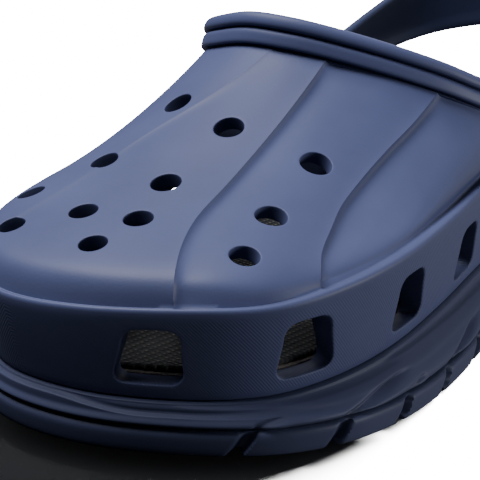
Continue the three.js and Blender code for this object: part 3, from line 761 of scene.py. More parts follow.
def upper_net(form, looks):
    columns = upper_columns()
    edge = form.midsole_top + SEAM
    rows, lays, tees, marks = [], [], [], {}

    def add_row(points, mask, t):
        rows.append(points)
        s = upper_stations(columns, clamp(t))
        lays.append(np.stack([np.abs(form.travel(s)), points[:, 2], mask + 0 * s], 1))
        tees.append(t)

    s = upper_stations(columns, 0.0)
    foot, gutter, lip_z = form.band_foot(s), form.gutter(s), form.lip(s)[:, 2]
    for k in range(BAND_ROWS):
        share = k / BAND_ROWS
        tuck = 0.5 * (1 - ramp(0, 0.06, share))
        mask = ramp(0.02, 0.08, share) * (1 - ramp(0.9, 1.0, share))
        add_row(form.beside(s, -foot * (1 - share) ** 1.13 - tuck, mix(edge, lip_z - 1.7, share)), mask, 0)
    marks["lip"] = len(rows)
    for share, rise in LIP:
        add_row(form.beside(s, -gutter * share, lip_z + rise * mix(0.5, 1, gutter / 4)), 0, 0)
    marks["vamp"] = len(rows)
    for k in range(1, VAMP_ROWS + 1):
        t = (k / VAMP_ROWS) ** 1.6
        add_row(form.vamp(upper_stations(columns, t), t), 0, t)
    marks["collar"] = len(rows)
    s = upper_stations(columns, 1.0)
    rim, out, deep = form.rim(s), form.outward(form.rim, s), form.collar_depth(s)
    knots = np.arange(len(COLLAR))
    for k in np.arange(0, len(COLLAR) - 1 + 1e-6, 0.5):
        aside = through(np.stack([knots, [c[0] for c in COLLAR]], 1), k)
        down = through(np.stack([knots, [c[1] for c in COLLAR]], 1), k)
        p = rim + out * (mix(aside * 0.45, aside, deep / 9.5))[:, None]
        p[:, 2] -= deep * down / 9.6
        add_row(p, 0, 2)
    marks["inside"] = len(rows)
    for k in range(INNER_ROWS - 1, -1, -1):
        t = (k / INNER_ROWS) ** 1.4
        add_row(form.vamp(upper_stations(columns, t), t, inside=True), 0, 2)
    s = upper_stations(columns, 0.0)
    inner = form.inner_band(s)
    shoulder = np.minimum(inner, -gutter - form.wall * 0.85)
    for k in range(INNER_BAND_ROWS + 1):
        share = k / INNER_BAND_ROWS
        add_row(form.beside(s, mix(shoulder, inner, share), mix(lip_z - 6, edge, share)), 0, 2)
    points, lay, tees = np.array(rows), np.array(lays), np.array(tees)

    # moulded ridges, as steps along the outer surface
    normals = net_normals(points, True)
    arc = np.cumsum(np.linalg.norm(points - np.roll(points, 1, 1), axis=2), axis=1)
    height = np.zeros(arc.shape)
    on_vamp = (tees <= 1)[:, None]
    t = clamp(tees)[:, None]
    grown = np.zeros(len(rows))
    grown[marks["lip"] + 2:marks["collar"]] = ramp(0, 9, np.arange(marks["collar"] - marks["lip"] - 2))
    drop = looks.ridge_drop / MM
    for mark, size, foot_width, fade in ((MIDDLE_COLUMN, 0.95, 1.5, 9.0), (OUTER_COLUMN, 0.9, 1.7, 13.0),
                                         (INNER_COLUMN, 0.28, 3.0, 7.0)):
        crest = int(np.argmin(np.abs(columns - mark)))
        off = arc - arc[:, crest:crest + 1]
        depth = drop * size * mix(0.75, 1.0, ramp(0.0, 0.3, t)) * (1 - 0.35 * ramp(0.9, 1.0, t))
        height += ridge_step(off, depth, foot_width, fade)
    points += normals * (height * on_vamp * grown[:, None])[..., None]
    return Net(points, lay, True), marks


VENT_LEANS = 2.4, -1.2  # how far the head lies towards the heel, for the first vents and for the others


def vent_outline(looks, lean):
    """Distance from a vent's middle to its edge against angle: a wide foot and a round head."""
    foot, tall = looks.vent_width / MM / 2, looks.vent_height / MM
    head, corner = foot * 0.86, 3.0
    bend = np.linspace(0, math.pi / 2, 9)
    right = np.concatenate([
        np.stack([foot - corner + corner * np.sin(bend), corner - corner * np.cos(bend)], 1),
        np.stack([head * np.cos(bend) ** 0.5, tall - 5.5 + 5.5 * np.sin(bend) ** 0.75], 1),
    ])
    outline = np.concatenate([right, (right * (-1, 1))[::-1]])
    outline[:, 0] += lean * (outline[:, 1] / tall)
    outline[:, 1] -= tall / 2
    fine = np.linspace(0, 1, 40)[:-1]
    nexts = np.roll(outline, -1, 0)
    dense = np.concatenate([mix(outline[k], nexts[k], fine[:, None]) for k in range(len(outline))])
    angle, radius = np.arctan2(dense[:, 1], dense[:, 0]), np.hypot(dense[:, 0], dense[:, 1])
    order = np.argsort(angle)
    return lambda turn: np.interp(turn, angle[order], radius[order], period=2 * math.pi)


def boss(face, side, sizes):
    """The round pad that the strap turns on, with a soft foot, as a turned body along X."""
    radius = sizes.boss_radius / MM
    shank = sizes.shank_radius / MM + SEAM
    flat = sizes.head_radius / MM + 1
    profile = [(shank, 0), (radius - 0.8, 0), (radius - 0.25, -0.2), (radius, -0.8), (radius + 0.15, -3.0),
               (radius + 1.4, -6.2), (radius + 0.6, -7.3), (flat, -7.5), (shank, -7.5)]
    return turned(profile, face, side, closed=True)


TURNED_STEPS = 48  # points round a turned body


def turned(profile, face, side, closed=False):
    """A body of revolution about the strap's pivot line; profile is (radius, distance outward from face)."""
    count = TURNED_STEPS
    turn = np.arange(count) / count * 2 * math.pi
    points = []
    for radius, off in profile:
        points.append(np.stack([face + side * off + 0 * turn, PIVOT[1] + radius * np.cos(turn),
                                PIVOT[2] + side * radius * np.sin(turn)], 1))
    faces = []
    rows = len(profile)
    for j in range(rows if closed else rows - 1):
        for i in range(count):
            k = (i + 1) % count
            b = (j + 1) % rows
            faces.append((j * count + i, b * count + i, b * count + k, j * count + k))
    return np.concatenate(points), faces


def bosses(form):
    return ((0.915 * form.half_width, 1, "outer"), (-0.835 * form.half_width, -1, "inner"))


def make_upper(context):
    scene = context.scene
    form, looks = Form(scene.clog_sizes), scene.clog_upper
    net, marks = upper_net(form, looks)
    outside = (marks["lip"] + 4, marks["collar"] - 1)
    inside = (marks["inside"] + 1, net.rows - 2)
    radius = looks.hole_radius / MM
    for s, t, share in HOLES:
        step = 0.04
        middle = form.vamp(np.array([s]), t)[0]
        across = unit(form.vamp(np.array([s + step]), t)[0] - form.vamp(np.array([s - step]), t)[0])
        rising = form.vamp(np.array([s]), t + step / 8)[0] - form.vamp(np.array([s]), t - step / 8)[0]
        axis = unit(np.cross(across, rising))
        place = (middle, across, np.cross(axis, across))
        net.pierce(outside, inside, place, lambda turn: share * radius + 0 * turn, 0.3)
    half_vent = looks.vent_height / MM / 2
    for side in (-1, 1):
        for k in range(looks.vents):
            outline = vent_outline(looks, side * VENT_LEANS[min(k, 1)])
            s = form.station_at(side * (looks.vent_start + k * looks.vent_pitch) / MM)
            out = form.outward(form.lip, np.array(s))
            seat = form.beside(np.array(s), -form.band_foot(s) / 2, looks.vent_foot / MM + half_vent)
            place = (seat, np.array([-out[1], out[0], 0]), np.array([0.0, 0, 1]))
            net.pierce((0, marks["lip"] + 2), (marks["inside"] + 4, net.rows - 1), place, outline, 0.6)
    foam = moulded_foam("Moulded EVA foam, upper", looks.foam, 0.5, 0.9)
    piece = net.build("foam_upper", [foam])
    pads = []
    for face, side, name in bosses(form):
        points, faces = boss(face, side, scene.clog_strap)
        pad = add_object("strap_pad_" + name, points, faces, [foam])
        give_lay(pad, np.zeros((len(points), 3)))
        sharpen(pad, 40)
        pads.append(pad)
    sharpen(piece, 50)
    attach(piece, "shoe")
    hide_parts("upper")
    for pad in pads:
        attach(pad, "shoe")


# ---------- sole ----------
SOLE_COLUMNS = 900


def sole_stations():
    return np.arange(SOLE_COLUMNS) / SOLE_COLUMNS * COUNT


def sprung(form, z, y):
    lifted = clamp((form.midsole_top - z) / (form.midsole_top - form.outsole_depth))
    return z + form.spring(y) * lifted


def notch_cut(form, looks, s, lean):
    """Depth of the tread notches at each column: a slope in, then a crisp wall on the heel side."""
    gone = np.abs(form.travel(s))
    start, pitch = looks.notch_start / MM, looks.notch_pitch / MM
    phase = (gone - start - lean + pitch / 2) % pitch - pitch / 2
    live = ramp(start - pitch / 2, start - pitch / 2 + 1, gone) * (1 - ramp(322, 328, gone))
    return live * ramp(-4.2, -1.0, phase) * (1 - ramp(0.3, 1.1, phase))


def slash_creases(form, looks, s, z):
    """Slanted creases that rise towards the heel from the tread notches, alternately short and long."""
    gone = np.abs(form.travel(s))
    start, pitch = looks.notch_start / MM, looks.notch_pitch / MM
    base = form.outsole_depth + form.spring(form.lip(s)[..., 1])
    height = np.zeros(np.broadcast(gone, z).shape)
    for k in range(13):
        long = k % 2 == 1
        reach, climb, depth = (32.0, 5.0, 1.6) if long else (10.0, 2.2, 1.1)
        head = start + k * pitch + 1.6
        if head + reach > 335:
            break
        along = (gone - head) / reach
        line = base + 1.0 + climb * (1 - (1 - clamp(along)) ** 1.5)
        off = z - line
        taper = ramp(-0.08, 0.05, along) * (1 - ramp(0.55, 1.0, along))
        width = mix(0.95, 0.45, clamp(along))
        height += taper * (-depth * np.exp(-(off / width) ** 2)
                           + 0.45 * depth * np.exp(-((off + 2.0) / 1.5) ** 2))
    return height


def flow_steps(form, s, z):
    """Ledges that flow from the toe along the side, each with the foam below it standing prouder."""
    gone = np.abs(form.travel(s))
    lines = (
        (((0, 18.9), (15, 18.7), (22, 18.0), (30, 17.2), (50, 17.0), (75, 16.4), (90, 14.6)), 0, 78, 95, 0.9),
        (((40, 19.4), (57, 18.9), (73, 18.4), (90, 17.8), (120, 17.0)), 42, 105, 125, 0.4),
        (((110, 18.6), (160, 17.0), (240, 16.4), (330, 17.0)), 112, 320, 335, 0.6),
    )
    height = 0
    for points, begin, wane, end, size in lines:
        off = through(points, gone) - z
        live = (1 if begin == 0 else ramp(begin, begin + 8, gone)) * (1 - ramp(wane, end, gone))
        below = ramp(-0.25, 0.35, off) * np.exp(-np.maximum(off, 0) / 3.2)
        height = height + live * size * (below - 0.35 * np.exp(-((off + 0.7) / 0.6) ** 2))
    return height


def make_midsole(context, foam):
    form, looks = Form(context.scene.clog_sizes), context.scene.clog_sole
    s = sole_stations()
    edge, foot = form.sole_edge(s), form.band_foot(s)
    base, top = form.outsole_depth + SEAM, form.midsole_top
    levels = np.concatenate([[0, 0.03, 0.06, 0.09], np.linspace(0.12, 0.94, 40), [0.965, 0.985, 1]])
    loops, lays = [], []
    for level in levels:
        z = mix(base, top, level)
        out = np.array([through(((base, e - 2.2), (base + 0.5, e - 1.1), (base + 1.2, e - 0.35),
                                 (mix(base, top, 0.5), e * 0.68 - f * 0.32), (top - 1.6, -f + 0.9),
                                 (top - 0.5, -f + 0.45), (top, -f - 0.6)), z) for e, f in zip(edge, foot)])
        p = form.beside(s, out, z)
        p[:, 2] = sprung(form, z, p[:, 1])
        carved = ramp(0.02, 0.12, level) * (1 - ramp(0.93, 1, level))
        push = carved * (slash_creases(form, looks, s, p[:, 2]) + flow_steps(form, s, p[:, 2]))
        p[:, :2] += form.outward(form.lip, s)[:, :2] * push[:, None]
        loops.append(p)
        lays.append(np.stack([np.abs(form.travel(s)), p[:, 2], 0 * s], 1))
    piece = slab("foam_midsole", np.array(loops), lays, 8,
                 lambda p, _: base + form.spring(p[..., 1]), lambda p, _: top, [foam])
    sharpen(piece, 50)
    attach(piece, "shoe")
    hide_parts("midsole")


def make_outsole(context, foam):
    form, looks = Form(context.scene.clog_sizes), context.scene.clog_sole
    s = sole_stations()
    edge = form.sole_edge(s)
    deep = form.outsole_depth
    plate = 2.8  # height of the tread's floor over the ground
    # inner wall of the rim, the ground edge, the side and the groove under the midsole
    profile = ((-8.0, plate, 0.0), (-7.6, 0.5, 0.5), (-6.9, 0.0, 1.0), (-1.6, 0.0, 1.0), (-0.7, 0.15, 1.0),
               (-0.15, 0.6, 1.0), (0.05, 1.3, 1.0), (0.2, 2.2, 1.0), (0.3, 3.1, 1.0), (0.4, 4.0, 1.0),
               (0.45, 4.8, 1.0), (0.45, 5.5, 0.9), (0.3, 6.1, 0.6), (-0.1, 6.6, 0.25), (-0.9, 6.9, 0.0),
               (-2.2, 7.0, 0.0))
    loops, lays = [], []
    for off, z, share in profile:
        cut = share * notch_cut(form, looks, s, (z - 3.5) * 0.6)
        p = form.beside(s, edge + off - cut * looks.notch_depth / MM * ramp(-6, -0.5, off), z)
        p[:, 2] = sprung(form, z * deep / 7 + cut * ramp(2.4, 0, z) * (plate - z), p[:, 1])
        loops.append(p)
        lays.append(np.stack([np.abs(form.travel(s)), p[:, 2], 0 * s], 1))
    piece = slab("foam_outsole", np.array(loops), lays, 12,
                 lambda p, _: plate + form.spring(p[..., 1]),
                 lambda p, _: deep + form.spring(p[..., 1]), [foam])
    sharpen(piece, 50)
    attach(piece, "shoe")
    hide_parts("outsole")


def lug_tree(material):
    """Geometry Nodes: a six-sided lug on every point, turned and levelled by the point's attributes."""
    tree = bpy.data.node_groups.new("Tread lugs", "GeometryNodeTree")
    face = tree.interface
    face.new_socket("Geometry", in_out="INPUT", socket_type="NodeSocketGeometry")
    face.new_socket("Lug radius", in_out="INPUT", socket_type="NodeSocketFloat")
    face.new_socket("Lug depth", in_out="INPUT", socket_type="NodeSocketFloat")
    face.new_socket("Geometry", in_out="OUTPUT", socket_type="NodeSocketGeometry")
    given = add_node(tree, "NodeGroupInput")
    points = add_node(tree, "GeometryNodeMeshToPoints", links={"Mesh": given.outputs["Geometry"]})
    foot = add_node(tree, "ShaderNodeMath", {"operation": "MULTIPLY"}, {1: 0.86},
                    {0: given.outputs["Lug radius"]})
    lug = add_node(tree, "GeometryNodeMeshCone", {"fill_type": "NGON"}, {"Vertices": 6},
                   {"Radius Bottom": foot.outputs[0], "Radius Top": given.outputs["Lug radius"],
                    "Depth": given.outputs["Lug depth"]})
    turn = add_node(tree, "GeometryNodeInputNamedAttribute", {"data_type": "FLOAT"}, {"Name": "turn"})
    about = add_node(tree, "ShaderNodeCombineXYZ", links={"Z": turn.outputs["Attribute"]})
    placed = add_node(tree, "GeometryNodeInstanceOnPoints", None, {"Scale": (0.62, 1.0, 1.0)},
                      {"Points": points.outputs["Points"], "Instance": lug.outputs["Mesh"],
                       "Rotation": about.outputs[0]})
    plain = add_node(tree, "GeometryNodeRealizeInstances", links={"Geometry": placed.outputs["Instances"]})
    finish = add_node(tree, "GeometryNodeSetMaterial", None, {"Material": material},
                      {"Geometry": plain.outputs["Geometry"]})
    result = add_node(tree, "NodeGroupOutput")
    tree.links.new(finish.outputs["Geometry"], result.inputs["Geometry"])
    return tree


def bake_nodes(piece, tree, values):
    """Runs a node tree on a piece with named values and leaves the result as its plain mesh."""
    modifier = piece.modifiers.new("nodes", "NODES")
    modifier.node_group = tree
    for item in tree.interface.items_tree:
        if item.item_type == "SOCKET" and item.in_out == "INPUT" and item.name in values:
            modifier[item.identifier] = values[item.name]
    graph = bpy.context.evaluated_depsgraph_get()
    mesh = bpy.data.meshes.new_from_object(piece.evaluated_get(graph))
    piece.modifiers.clear()
    old = piece.data
    piece.data = mesh
    bpy.data.meshes.remove(old)


def make_lugs(context, foam):
    form, looks = Form(context.scene.clog_sizes), context.scene.clog_sole
    pitch = looks.lug_pitch / MM
    s = np.linspace(0, COUNT, 721)[:-1]
    edge = form.beside(s, form.sole_edge(s) - 14.5, 0)[:, :2]
    centres, turns = [], []
    depth = 3.2
    for j in np.arange(-form.half_length, form.half_length, pitch * 0.86):
        row = round(j / (pitch * 0.86))
        for x in np.arange(-form.half_width, form.half_width, pitch) + (row % 2) * pitch / 2:
            cross = (edge[:, 1] > j) != (np.roll(edge[:, 1], -1) > j)
            nxt = np.roll(edge, -1, 0)
            hit = edge[:, 0] + (j - edge[:, 1]) / (nxt[:, 1] - edge[:, 1] + 1e-9) * (nxt[:, 0] - edge[:, 0])
            if np.sum(cross & (hit > x)) % 2 == 1:
                centres.append((x, j, depth / 2 + float(form.spring(j))))
                turns.append(0.5 if row % 2 else -0.5)
    piece = add_object("tread_lugs", centres, [], [], smooth=False)
    piece.data.attributes.new("turn", "FLOAT", "POINT").data.foreach_set("value", turns)
    bake_nodes(piece, lug_tree(foam), {"Lug radius": looks.lug_radius, "Lug depth": depth * MM})
    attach(piece, "shoe")


# ---------- footbed ----------
def cup_rise(form, y):
    """Rise of the footbed's edge over its middle, which grows towards the heel."""
    return mix(0.6, 4.5, ramp(-0.2 * form.half_length, 0.6 * form.half_length, y))


def footbed_loop(form, s, height, shrink):
    p = form.beside(s, form.inner_band(s) - 0.35 - shrink, 0)
    p[:, 2] = height(cup_rise(form, p[:, 1]))
    return p


def make_footbed(context):
    form, looks = Form(context.scene.clog_sizes), context.scene.clog_sole
    s = np.arange(360) / 360 * COUNT
    base = form.midsole_top + SEAM
    top = base + looks.insole_depth / MM
    cup = lambda level: lambda p, across: level + cup_rise(form, p[..., 1]) * np.abs(2 * across - 1) ** 4
    foam_loops = [(0, lambda c: base + 0 * c), (0, lambda c: top + c - 1.0), (0.3, lambda c: top + c - 0.2),
                  (1.0, lambda c: top + c)]
    loops = np.array([footbed_loop(form, s, h, shrink) for shrink, h in foam_loops])
    foam = slab("footbed_foam", loops, np.zeros((loops.shape[0] * loops.shape[1], 3)), 24,
                lambda p, _: base, cup(top), [cut_foam("Die-cut EVA foam")])
    sharpen(foam, 50)
    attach(foam, "shoe")
    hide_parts("insole_foam")
    low = top + SEAM
    high = low + looks.cover_depth / MM
    cover_loops = [(1.5, lambda c: low + c), (1.3, lambda c: mix(low, high, 0.5) + c),
                   (1.6, lambda c: high + c - 0.1), (2.1, lambda c: high + c)]
    loops = np.array([footbed_loop(form, s, h, shrink) for shrink, h in cover_loops])
    cover = slab("footbed_cover", loops, np.zeros((loops.shape[0] * loops.shape[1], 3)), 48,
                 cup(low), cup(high), [footbed_cloth("Knitted polyester cloth")])
    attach(cover, "shoe")
    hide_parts("insole_cover")


# ---------- heel strap ----------
STRAP_STEPS = 241  # places along the strap, between its two pivots
EYE_STEPS = 13  # places along each round end, past the pivot
EYE_ROWS = 40  # places at each end that the rivet's hole may cut


def centripetal(points, count):
    """Points evenly spaced along a smooth curve through the given ones."""
    p = np.array(points, float)
    p = np.concatenate([[2 * p[0] - p[1]], p, [2 * p[-1] - p[-2]]])
    knots = np.concatenate([[0], np.cumsum(np.linalg.norm(np.diff(p, axis=0), axis=1) ** 0.5)])
    fine = []
    for k in range(1, len(p) - 2):
        t = np.linspace(knots[k], knots[k + 1], 41)[:-1, None]
        t0, t1, t2, t3 = knots[k - 1:k + 3]
        a1 = (t1 - t) / (t1 - t0) * p[k - 1] + (t - t0) / (t1 - t0) * p[k]
        a2 = (t2 - t) / (t2 - t1) * p[k] + (t - t1) / (t2 - t1) * p[k + 1]
        a3 = (t3 - t) / (t3 - t2) * p[k + 1] + (t - t2) / (t3 - t2) * p[k + 2]
        b1 = (t2 - t) / (t2 - t0) * a1 + (t - t0) / (t2 - t0) * a2
        b2 = (t3 - t) / (t3 - t1) * a2 + (t - t1) / (t3 - t1) * a3
        fine.append((t2 - t) / (t2 - t1) * b1 + (t - t1) / (t2 - t1) * b2)
    fine = np.concatenate([*fine, p[-2:-1]])
    gone = np.concatenate([[0], np.cumsum(np.linalg.norm(np.diff(fine, axis=0), axis=1))])
    even = np.linspace(0, gone[-1], count)
    return np.stack([np.interp(even, gone, fine[:, k]) for k in (0, 1)], 1), even / gone[-1], gone[-1]


def make_strap(context):
    scene = context.scene
    form, looks = Form(scene.clog_sizes), scene.clog_strap
    thick = looks.thickness / MM
    gap = 0.4 + thick / 2
    hw, hl = form.half_width, form.half_length
    (outer, _, _), (inner, _, _) = bosses(form)
    route = ((outer + gap, PIVOT[1] - 2), (outer + gap, PIVOT[1] + 14), (0.95 * hw, 0.46 * hl),
             (0.88 * hw, 0.66 * hl), (0.68 * hw, 0.87 * hl), (0.05 * hw, 1.0 * hl), (-0.56 * hw, 0.87 * hl),
             (-0.815 * hw, 0.66 * hl), (-0.895 * hw, 0.46 * hl), (inner - gap, PIVOT[1] + 14),
             (inner - gap, PIVOT[1] - 2))
    line, share, total = centripetal(route, STRAP_STEPS)
    eye = looks.boss_radius / MM
    # the eye's front end, drawn past the route's ends
    lead = -(eye - 2.0) * np.sin(np.linspace(math.pi / 2, 0, EYE_STEPS + 1))[:-1]
    front = np.stack([line[0, 0] + 0 * lead, line[0, 1] + lead], 1)
    back = np.stack([line[-1, 0] + 0 * lead, line[-1, 1] + lead], 1)[::-1]
    path = np.concatenate([front, line, back])
    t = np.concatenate([lead / total, share, 1 - lead[::-1] / total])
    way = unit(np.gradient(path, axis=0))
    way[:EYE_STEPS] = (0, 1)
    way[-EYE_STEPS:] = (0, -1)
    out = np.stack([way[:, 1], -way[:, 0]], 1)
    near = np.minimum(t, 1 - t)
    wide = ramp(0.08, 0.44, near)
    low = mix(PIVOT[2] - 5.5, looks.foot / MM, ramp(0.1, 0.46, near))
    high = mix(PIVOT[2] + 5.5, (looks.foot + looks.heel_width) / MM, wide)
    # round eye about the pivot, blended into the strap's neck
    off = near * total - 2.0
    chord = np.sqrt(np.maximum(eye ** 2 - off ** 2, 0.05))
    neck = ramp(-2.0, eye + 5, off)
    blend = ramp(0.35 * eye, eye + 4, off)
    bottom = np.where(off < eye + 4, mix(PIVOT[2] - np.maximum(chord, 5.5 * neck), low, blend), low)
    top = np.where(off < eye + 4, mix(PIVOT[2] + np.maximum(chord, 5.5 * neck), high, blend), high)
    # section: rounded edges, a shallow raised border and a slightly dished outer face
    half = thick / 2
    turn = np.linspace(0, math.pi, 9)
    edge = np.stack([np.cos(turn) * half, half * 0.85 * np.sin(turn)], 1)
    rows = []
    steps = np.linspace(0, 1, 15)[1:-1]
    for p, o, a, b in zip(path, out, bottom, top):
        tall = b - a
        bead = min(half * 0.85, tall * 0.45)
        scale = bead / (half * 0.85)
        crown = np.stack([edge[:, 0], b - bead + edge[:, 1] * scale], 1)
        root = np.stack([-edge[:, 0], a + bead - edge[:, 1] * scale], 1)
        span = tall - 2 * bead
        dish = 0.35 * ramp(8, 20, tall)
        border = dish * (1 - ramp(0.05, 0.14, steps) * ramp(0.05, 0.14, 1 - steps))
        inside = np.stack([-half + (dish - border), b - bead - span * steps], 1)
        outside = np.stack([half - (dish - border), a + bead + span * steps], 1)
        ring = np.concatenate([crown, inside, root, outside])
        rows.append(np.stack([p[0] + o[0] * ring[:, 0], p[1] + o[1] * ring[:, 0], ring[:, 1]], 1))
    points = np.array(rows)
    net = Net(points, np.zeros(points.shape), False)
    ring = np.arange(len(rows[0]))
    foam = moulded_foam("Moulded EVA foam, strap", looks.foam, 0.5, 0)
    eye_hole = looks.shank_radius / MM + SEAM
    for face, side, _ in bosses(form):
        rows_near = (0, EYE_ROWS) if side > 0 else (net.rows - EYE_ROWS, net.rows)
        middle = np.array([face + side * gap, PIVOT[1], PIVOT[2]])
        strap_hole(net, rows_near, middle, side, half, eye_hole)
    net.faces.append(tuple(ring[::-1]))
    net.faces.append(tuple((len(rows) - 1) * len(ring) + ring))
    piece = net.build("heel_band", [foam])
    sharpen(piece, 45)
    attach(piece, "strap")
    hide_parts("heel_strap")


def strap_hole(net, rows, middle, side, half, radius):
    """A round hole through the strap's eye for the rivet's shank."""
    flat = np.array([0.0, side, 0])
    up = np.array([0.0, 0, 1])
    outer_face, inner_face, face_columns, hole_points = 31, 9, 13, 36
    loops = []
    for facing, first in ((1, outer_face), (-1, inner_face)):
        span = (first, first + face_columns)
        window = net.points[rows[0]:rows[1], span[0]:span[1]]
        local = window - middle
        near = np.hypot(local @ flat, local @ up) < radius + 1.3
        js, cs = np.nonzero(near)
        j0, j1 = rows[0] + js.min() - 1, rows[0] + js.max() + 1
        i0, i1 = span[0] + cs.min() - 1, span[0] + cs.max() + 1
        net.kept[j0:j1, i0:i1] = False
        edge = ([(j0, i) for i in range(i0, i1)] + [(j, i1) for j in range(j0, j1)]
                + [(j1, i) for i in range(i1, i0, -1)] + [(j, i0) for j in range(j1, j0, -1)])
        outer = np.array([net.index(j, i) for j, i in edge])
        off = net.points.reshape(-1, 3)[outer] - middle
        angles = np.arctan2(off @ up, off @ flat)
        turn = np.arange(hole_points) / hole_points * 2 * math.pi - math.pi
        ring = middle + radius * (np.cos(turn)[:, None] * flat + np.sin(turn)[:, None] * up)
        ring[:, 0] = middle[0] + side * facing * half
        loop = net.add(ring, np.zeros(ring.shape))
        net.zip(outer, angles, loop, turn, facing)
        loops.append(loop)
    net.join(loops[0], loops[1], 1)


# ---------- rivets ----------
def make_rivets(context):
    scene = context.scene
    form, looks = Form(scene.clog_sizes), scene.clog_strap
    head, shank = looks.head_radius / MM, looks.shank_radius / MM
    thick = looks.thickness / MM
    nylon = moulded_nylon("Moulded nylon, rivets")
    for face, side, name in bosses(form):
        under = face + side * (0.8 + thick)
        tip = abs(under - (face - side * 9.5))
        profile = [(0.0, 1.75), (2.2, 1.75), (2.8, 1.85), (3.3, 2.3), (4.0, 2.5), (5.0, 2.35), (6.2, 1.9),
                   (head - 0.45, 1.25), (head - 0.1, 0.8), (head, 0.35), (head - 0.12, 0.05),
                   (head - 0.5, 0.0), (shank + 0.3, 0.0), (shank, -0.3), (shank, -tip + 0.5),
                   (shank - 0.5, -tip), (0.0, -tip)]
        add_turned("rivet_head_" + name, profile, under, side, nylon, "rivet_button_" + name)
        seat = face - side * (7.5 + SEAM)
        bore = shank + SEAM
        ring = [(bore, 0.0), (head - 0.2, 0.0), (head, -0.2), (head, -1.2), (head - 0.35, -1.75),
                (head - 1, -2.0), (bore + 0.6, -2.0), (bore, -1.7)]
        add_turned("rivet_back_" + name, ring, seat, side, nylon, "rivet_cap_" + name, closed=True)


def add_turned(name, profile, face, side, material, node, closed=False):
    points, faces = turned(profile, face, side, closed)
    if not closed:
        # one point at each pole
        spare = TURNED_STEPS - 1
        points = points[spare:-spare]
        last = len(points) - 1
        faces = [list(dict.fromkeys(min(max(v - spare, 0), last) for v in corners)) for corners in faces]
    piece = add_object(name, points, faces, [material])
    give_lay(piece, np.zeros((len(points), 3)))
    sharpen(piece, 50)
    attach(piece, "shoe")
    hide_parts(node)


# ---------- stage ----------
def add_light(name, place, aim, size, power, floor, on_floor=False):
    data = bpy.data.lights.new(name, "AREA")
    data.shape = "RECTANGLE"
    data.size, data.size_y = size
    data.energy = power
    lamp = bpy.data.objects.new(name, data)
    lamp.location = place
    lamp.rotation_euler = (Vector(aim) - Vector(place)).to_track_quat("-Z", "Y").to_euler()
    bpy.context.scene.collection.objects.link(lamp)
    lit = bpy.data.collections.new(name)
    lit.objects.link(floor)
    lit.collection_objects[0].light_linking.link_state = "INCLUDE" if on_floor else "EXCLUDE"
    lamp.light_linking.receiver_collection = lit


def make_stage(context):
    looks = context.scene.clog_stage
    centre = Vector(looks.aim)
    turn, tilt = looks.azimuth, looks.elevation
    ahead = Vector((-math.sin(turn) * math.cos(tilt), math.cos(turn) * math.cos(tilt), -math.sin(tilt)))
    data = bpy.data.cameras.new("camera")
    data.lens, data.sensor_width = 112.5, 36
    camera = bpy.data.objects.new("camera", data)
    camera.location = centre - ahead * looks.distance
    camera.rotation_euler = (math.pi / 2 - tilt, 0, turn)
    context.scene.collection.objects.link(camera)
    context.scene.camera = camera
    reach = 4.0 / MM  # middle of the floor to its edge
    corners = [(x * reach, y * reach, 0) for x, y in ((-1, -1), (1, -1), (1, 1), (-1, 1))]
    floor = add_object("floor", corners, [(0, 1, 2, 3)], [seamless_paper("Backdrop paper")], smooth=False)
    add_light("top softbox", (-0.34, -0.28, 1.2), (0, 0, 0.03), (0.9, 0.8), looks.top_power, floor)
    add_light("back softbox", (-0.35, 1.35, 0.75), (0, 0, 0.03), (1.9, 0.9), looks.back_power, floor)
    add_light("side softbox", (1.2, 0.5, 0.18), (0, 0, 0.03), (0.5, 0.3), looks.fill_power, floor)
    add_light("floor softbox", (0.45, 1.1, 0.8), (0, 0, 0), (1.0, 0.8), looks.floor_power, floor,
              on_floor=True)
    world = bpy.data.worlds.new("studio")
    world.use_nodes = True
    world.node_tree.nodes["Background"].inputs["Color"].default_value = (0.9, 0.93, 1.0, 1)
    world.node_tree.nodes["Background"].inputs["Strength"].default_value = 0.035
    context.scene.world = world


# ---------- operators ----------
class CLOG_OT_stage(bpy.types.Operator):
    """Sets the camera, the lights and the floor"""

    bl_idname = "clog.stage"
    bl_label = "Stage"

    def execute(self, context):
        make_stage(context)
        return {"FINISHED"}


class CLOG_OT_upper(bpy.types.Operator):
    """Builds the moulded upper with its band, vamp, holes, vents and collar"""

    bl_idname = "clog.upper"
    bl_label = "Upper"

    def execute(self, context):
        make_upper(context)
        return {"FINISHED"}


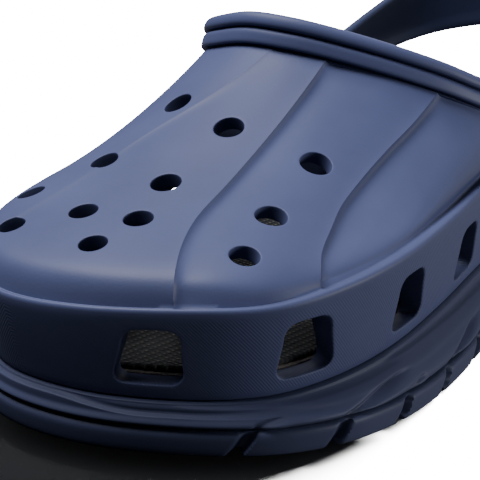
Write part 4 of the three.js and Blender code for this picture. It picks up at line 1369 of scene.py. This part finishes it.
class CLOG_OT_sole(bpy.types.Operator):
    """Builds the midsole, the outsole and its tread lugs"""

    bl_idname = "clog.sole"
    bl_label = "Sole"

    def execute(self, context):
        # the sole's colour carries painted shade: darker than the upper's foam, for the weaker light on the
        # sole
        foam = moulded_foam("Moulded EVA foam, sole, darkened as painted shade", context.scene.clog_sole.foam, 0.55, 0)
        make_midsole(context, foam)
        make_outsole(context, foam)
        make_lugs(context, foam)
        return {"FINISHED"}


class CLOG_OT_footbed(bpy.types.Operator):
    """Builds the footbed's foam and its cloth"""

    bl_idname = "clog.footbed"
    bl_label = "Footbed"

    def execute(self, context):
        make_footbed(context)
        return {"FINISHED"}


class CLOG_OT_strap(bpy.types.Operator):
    """Builds the swinging heel strap"""

    bl_idname = "clog.strap"
    bl_label = "Heel strap"

    def execute(self, context):
        make_strap(context)
        return {"FINISHED"}


class CLOG_OT_rivets(bpy.types.Operator):
    """Builds the two snap rivets that the strap turns on"""

    bl_idname = "clog.rivets"
    bl_label = "Rivets"

    def execute(self, context):
        make_rivets(context)
        return {"FINISHED"}


STEPS = (CLOG_OT_stage, CLOG_OT_upper, CLOG_OT_sole, CLOG_OT_footbed, CLOG_OT_strap, CLOG_OT_rivets)


class CLOG_PT_panel(bpy.types.Panel):
    """Lists the clog's pieces in the sidebar"""

    bl_idname = "CLOG_PT_panel"
    bl_label = "Garden Clog"
    bl_space_type = "VIEW_3D"
    bl_region_type = "UI"
    bl_category = "Clog"

    def draw(self, context):
        for step in STEPS:
            self.layout.operator(step.bl_idname)


GROUPS = (("clog_sizes", ClogSizes), ("clog_upper", UpperLooks), ("clog_sole", SoleLooks),
          ("clog_strap", StrapLooks), ("clog_stage", StageLooks))


def register():
    for name, group in GROUPS:
        bpy.utils.register_class(group)
        setattr(bpy.types.Scene, name, PointerProperty(type=group))
    for item in (*STEPS, CLOG_PT_panel):
        bpy.utils.register_class(item)


def unregister():
    for item in (*STEPS, CLOG_PT_panel):
        bpy.utils.unregister_class(item)
    for name, group in GROUPS:
        delattr(bpy.types.Scene, name)
        bpy.utils.unregister_class(group)


def main():
    register()
    for step in STEPS:
        family, _, name = step.bl_idname.partition(".")
        getattr(getattr(bpy.ops, family), name)()


if __name__ == "__main__":
    main()
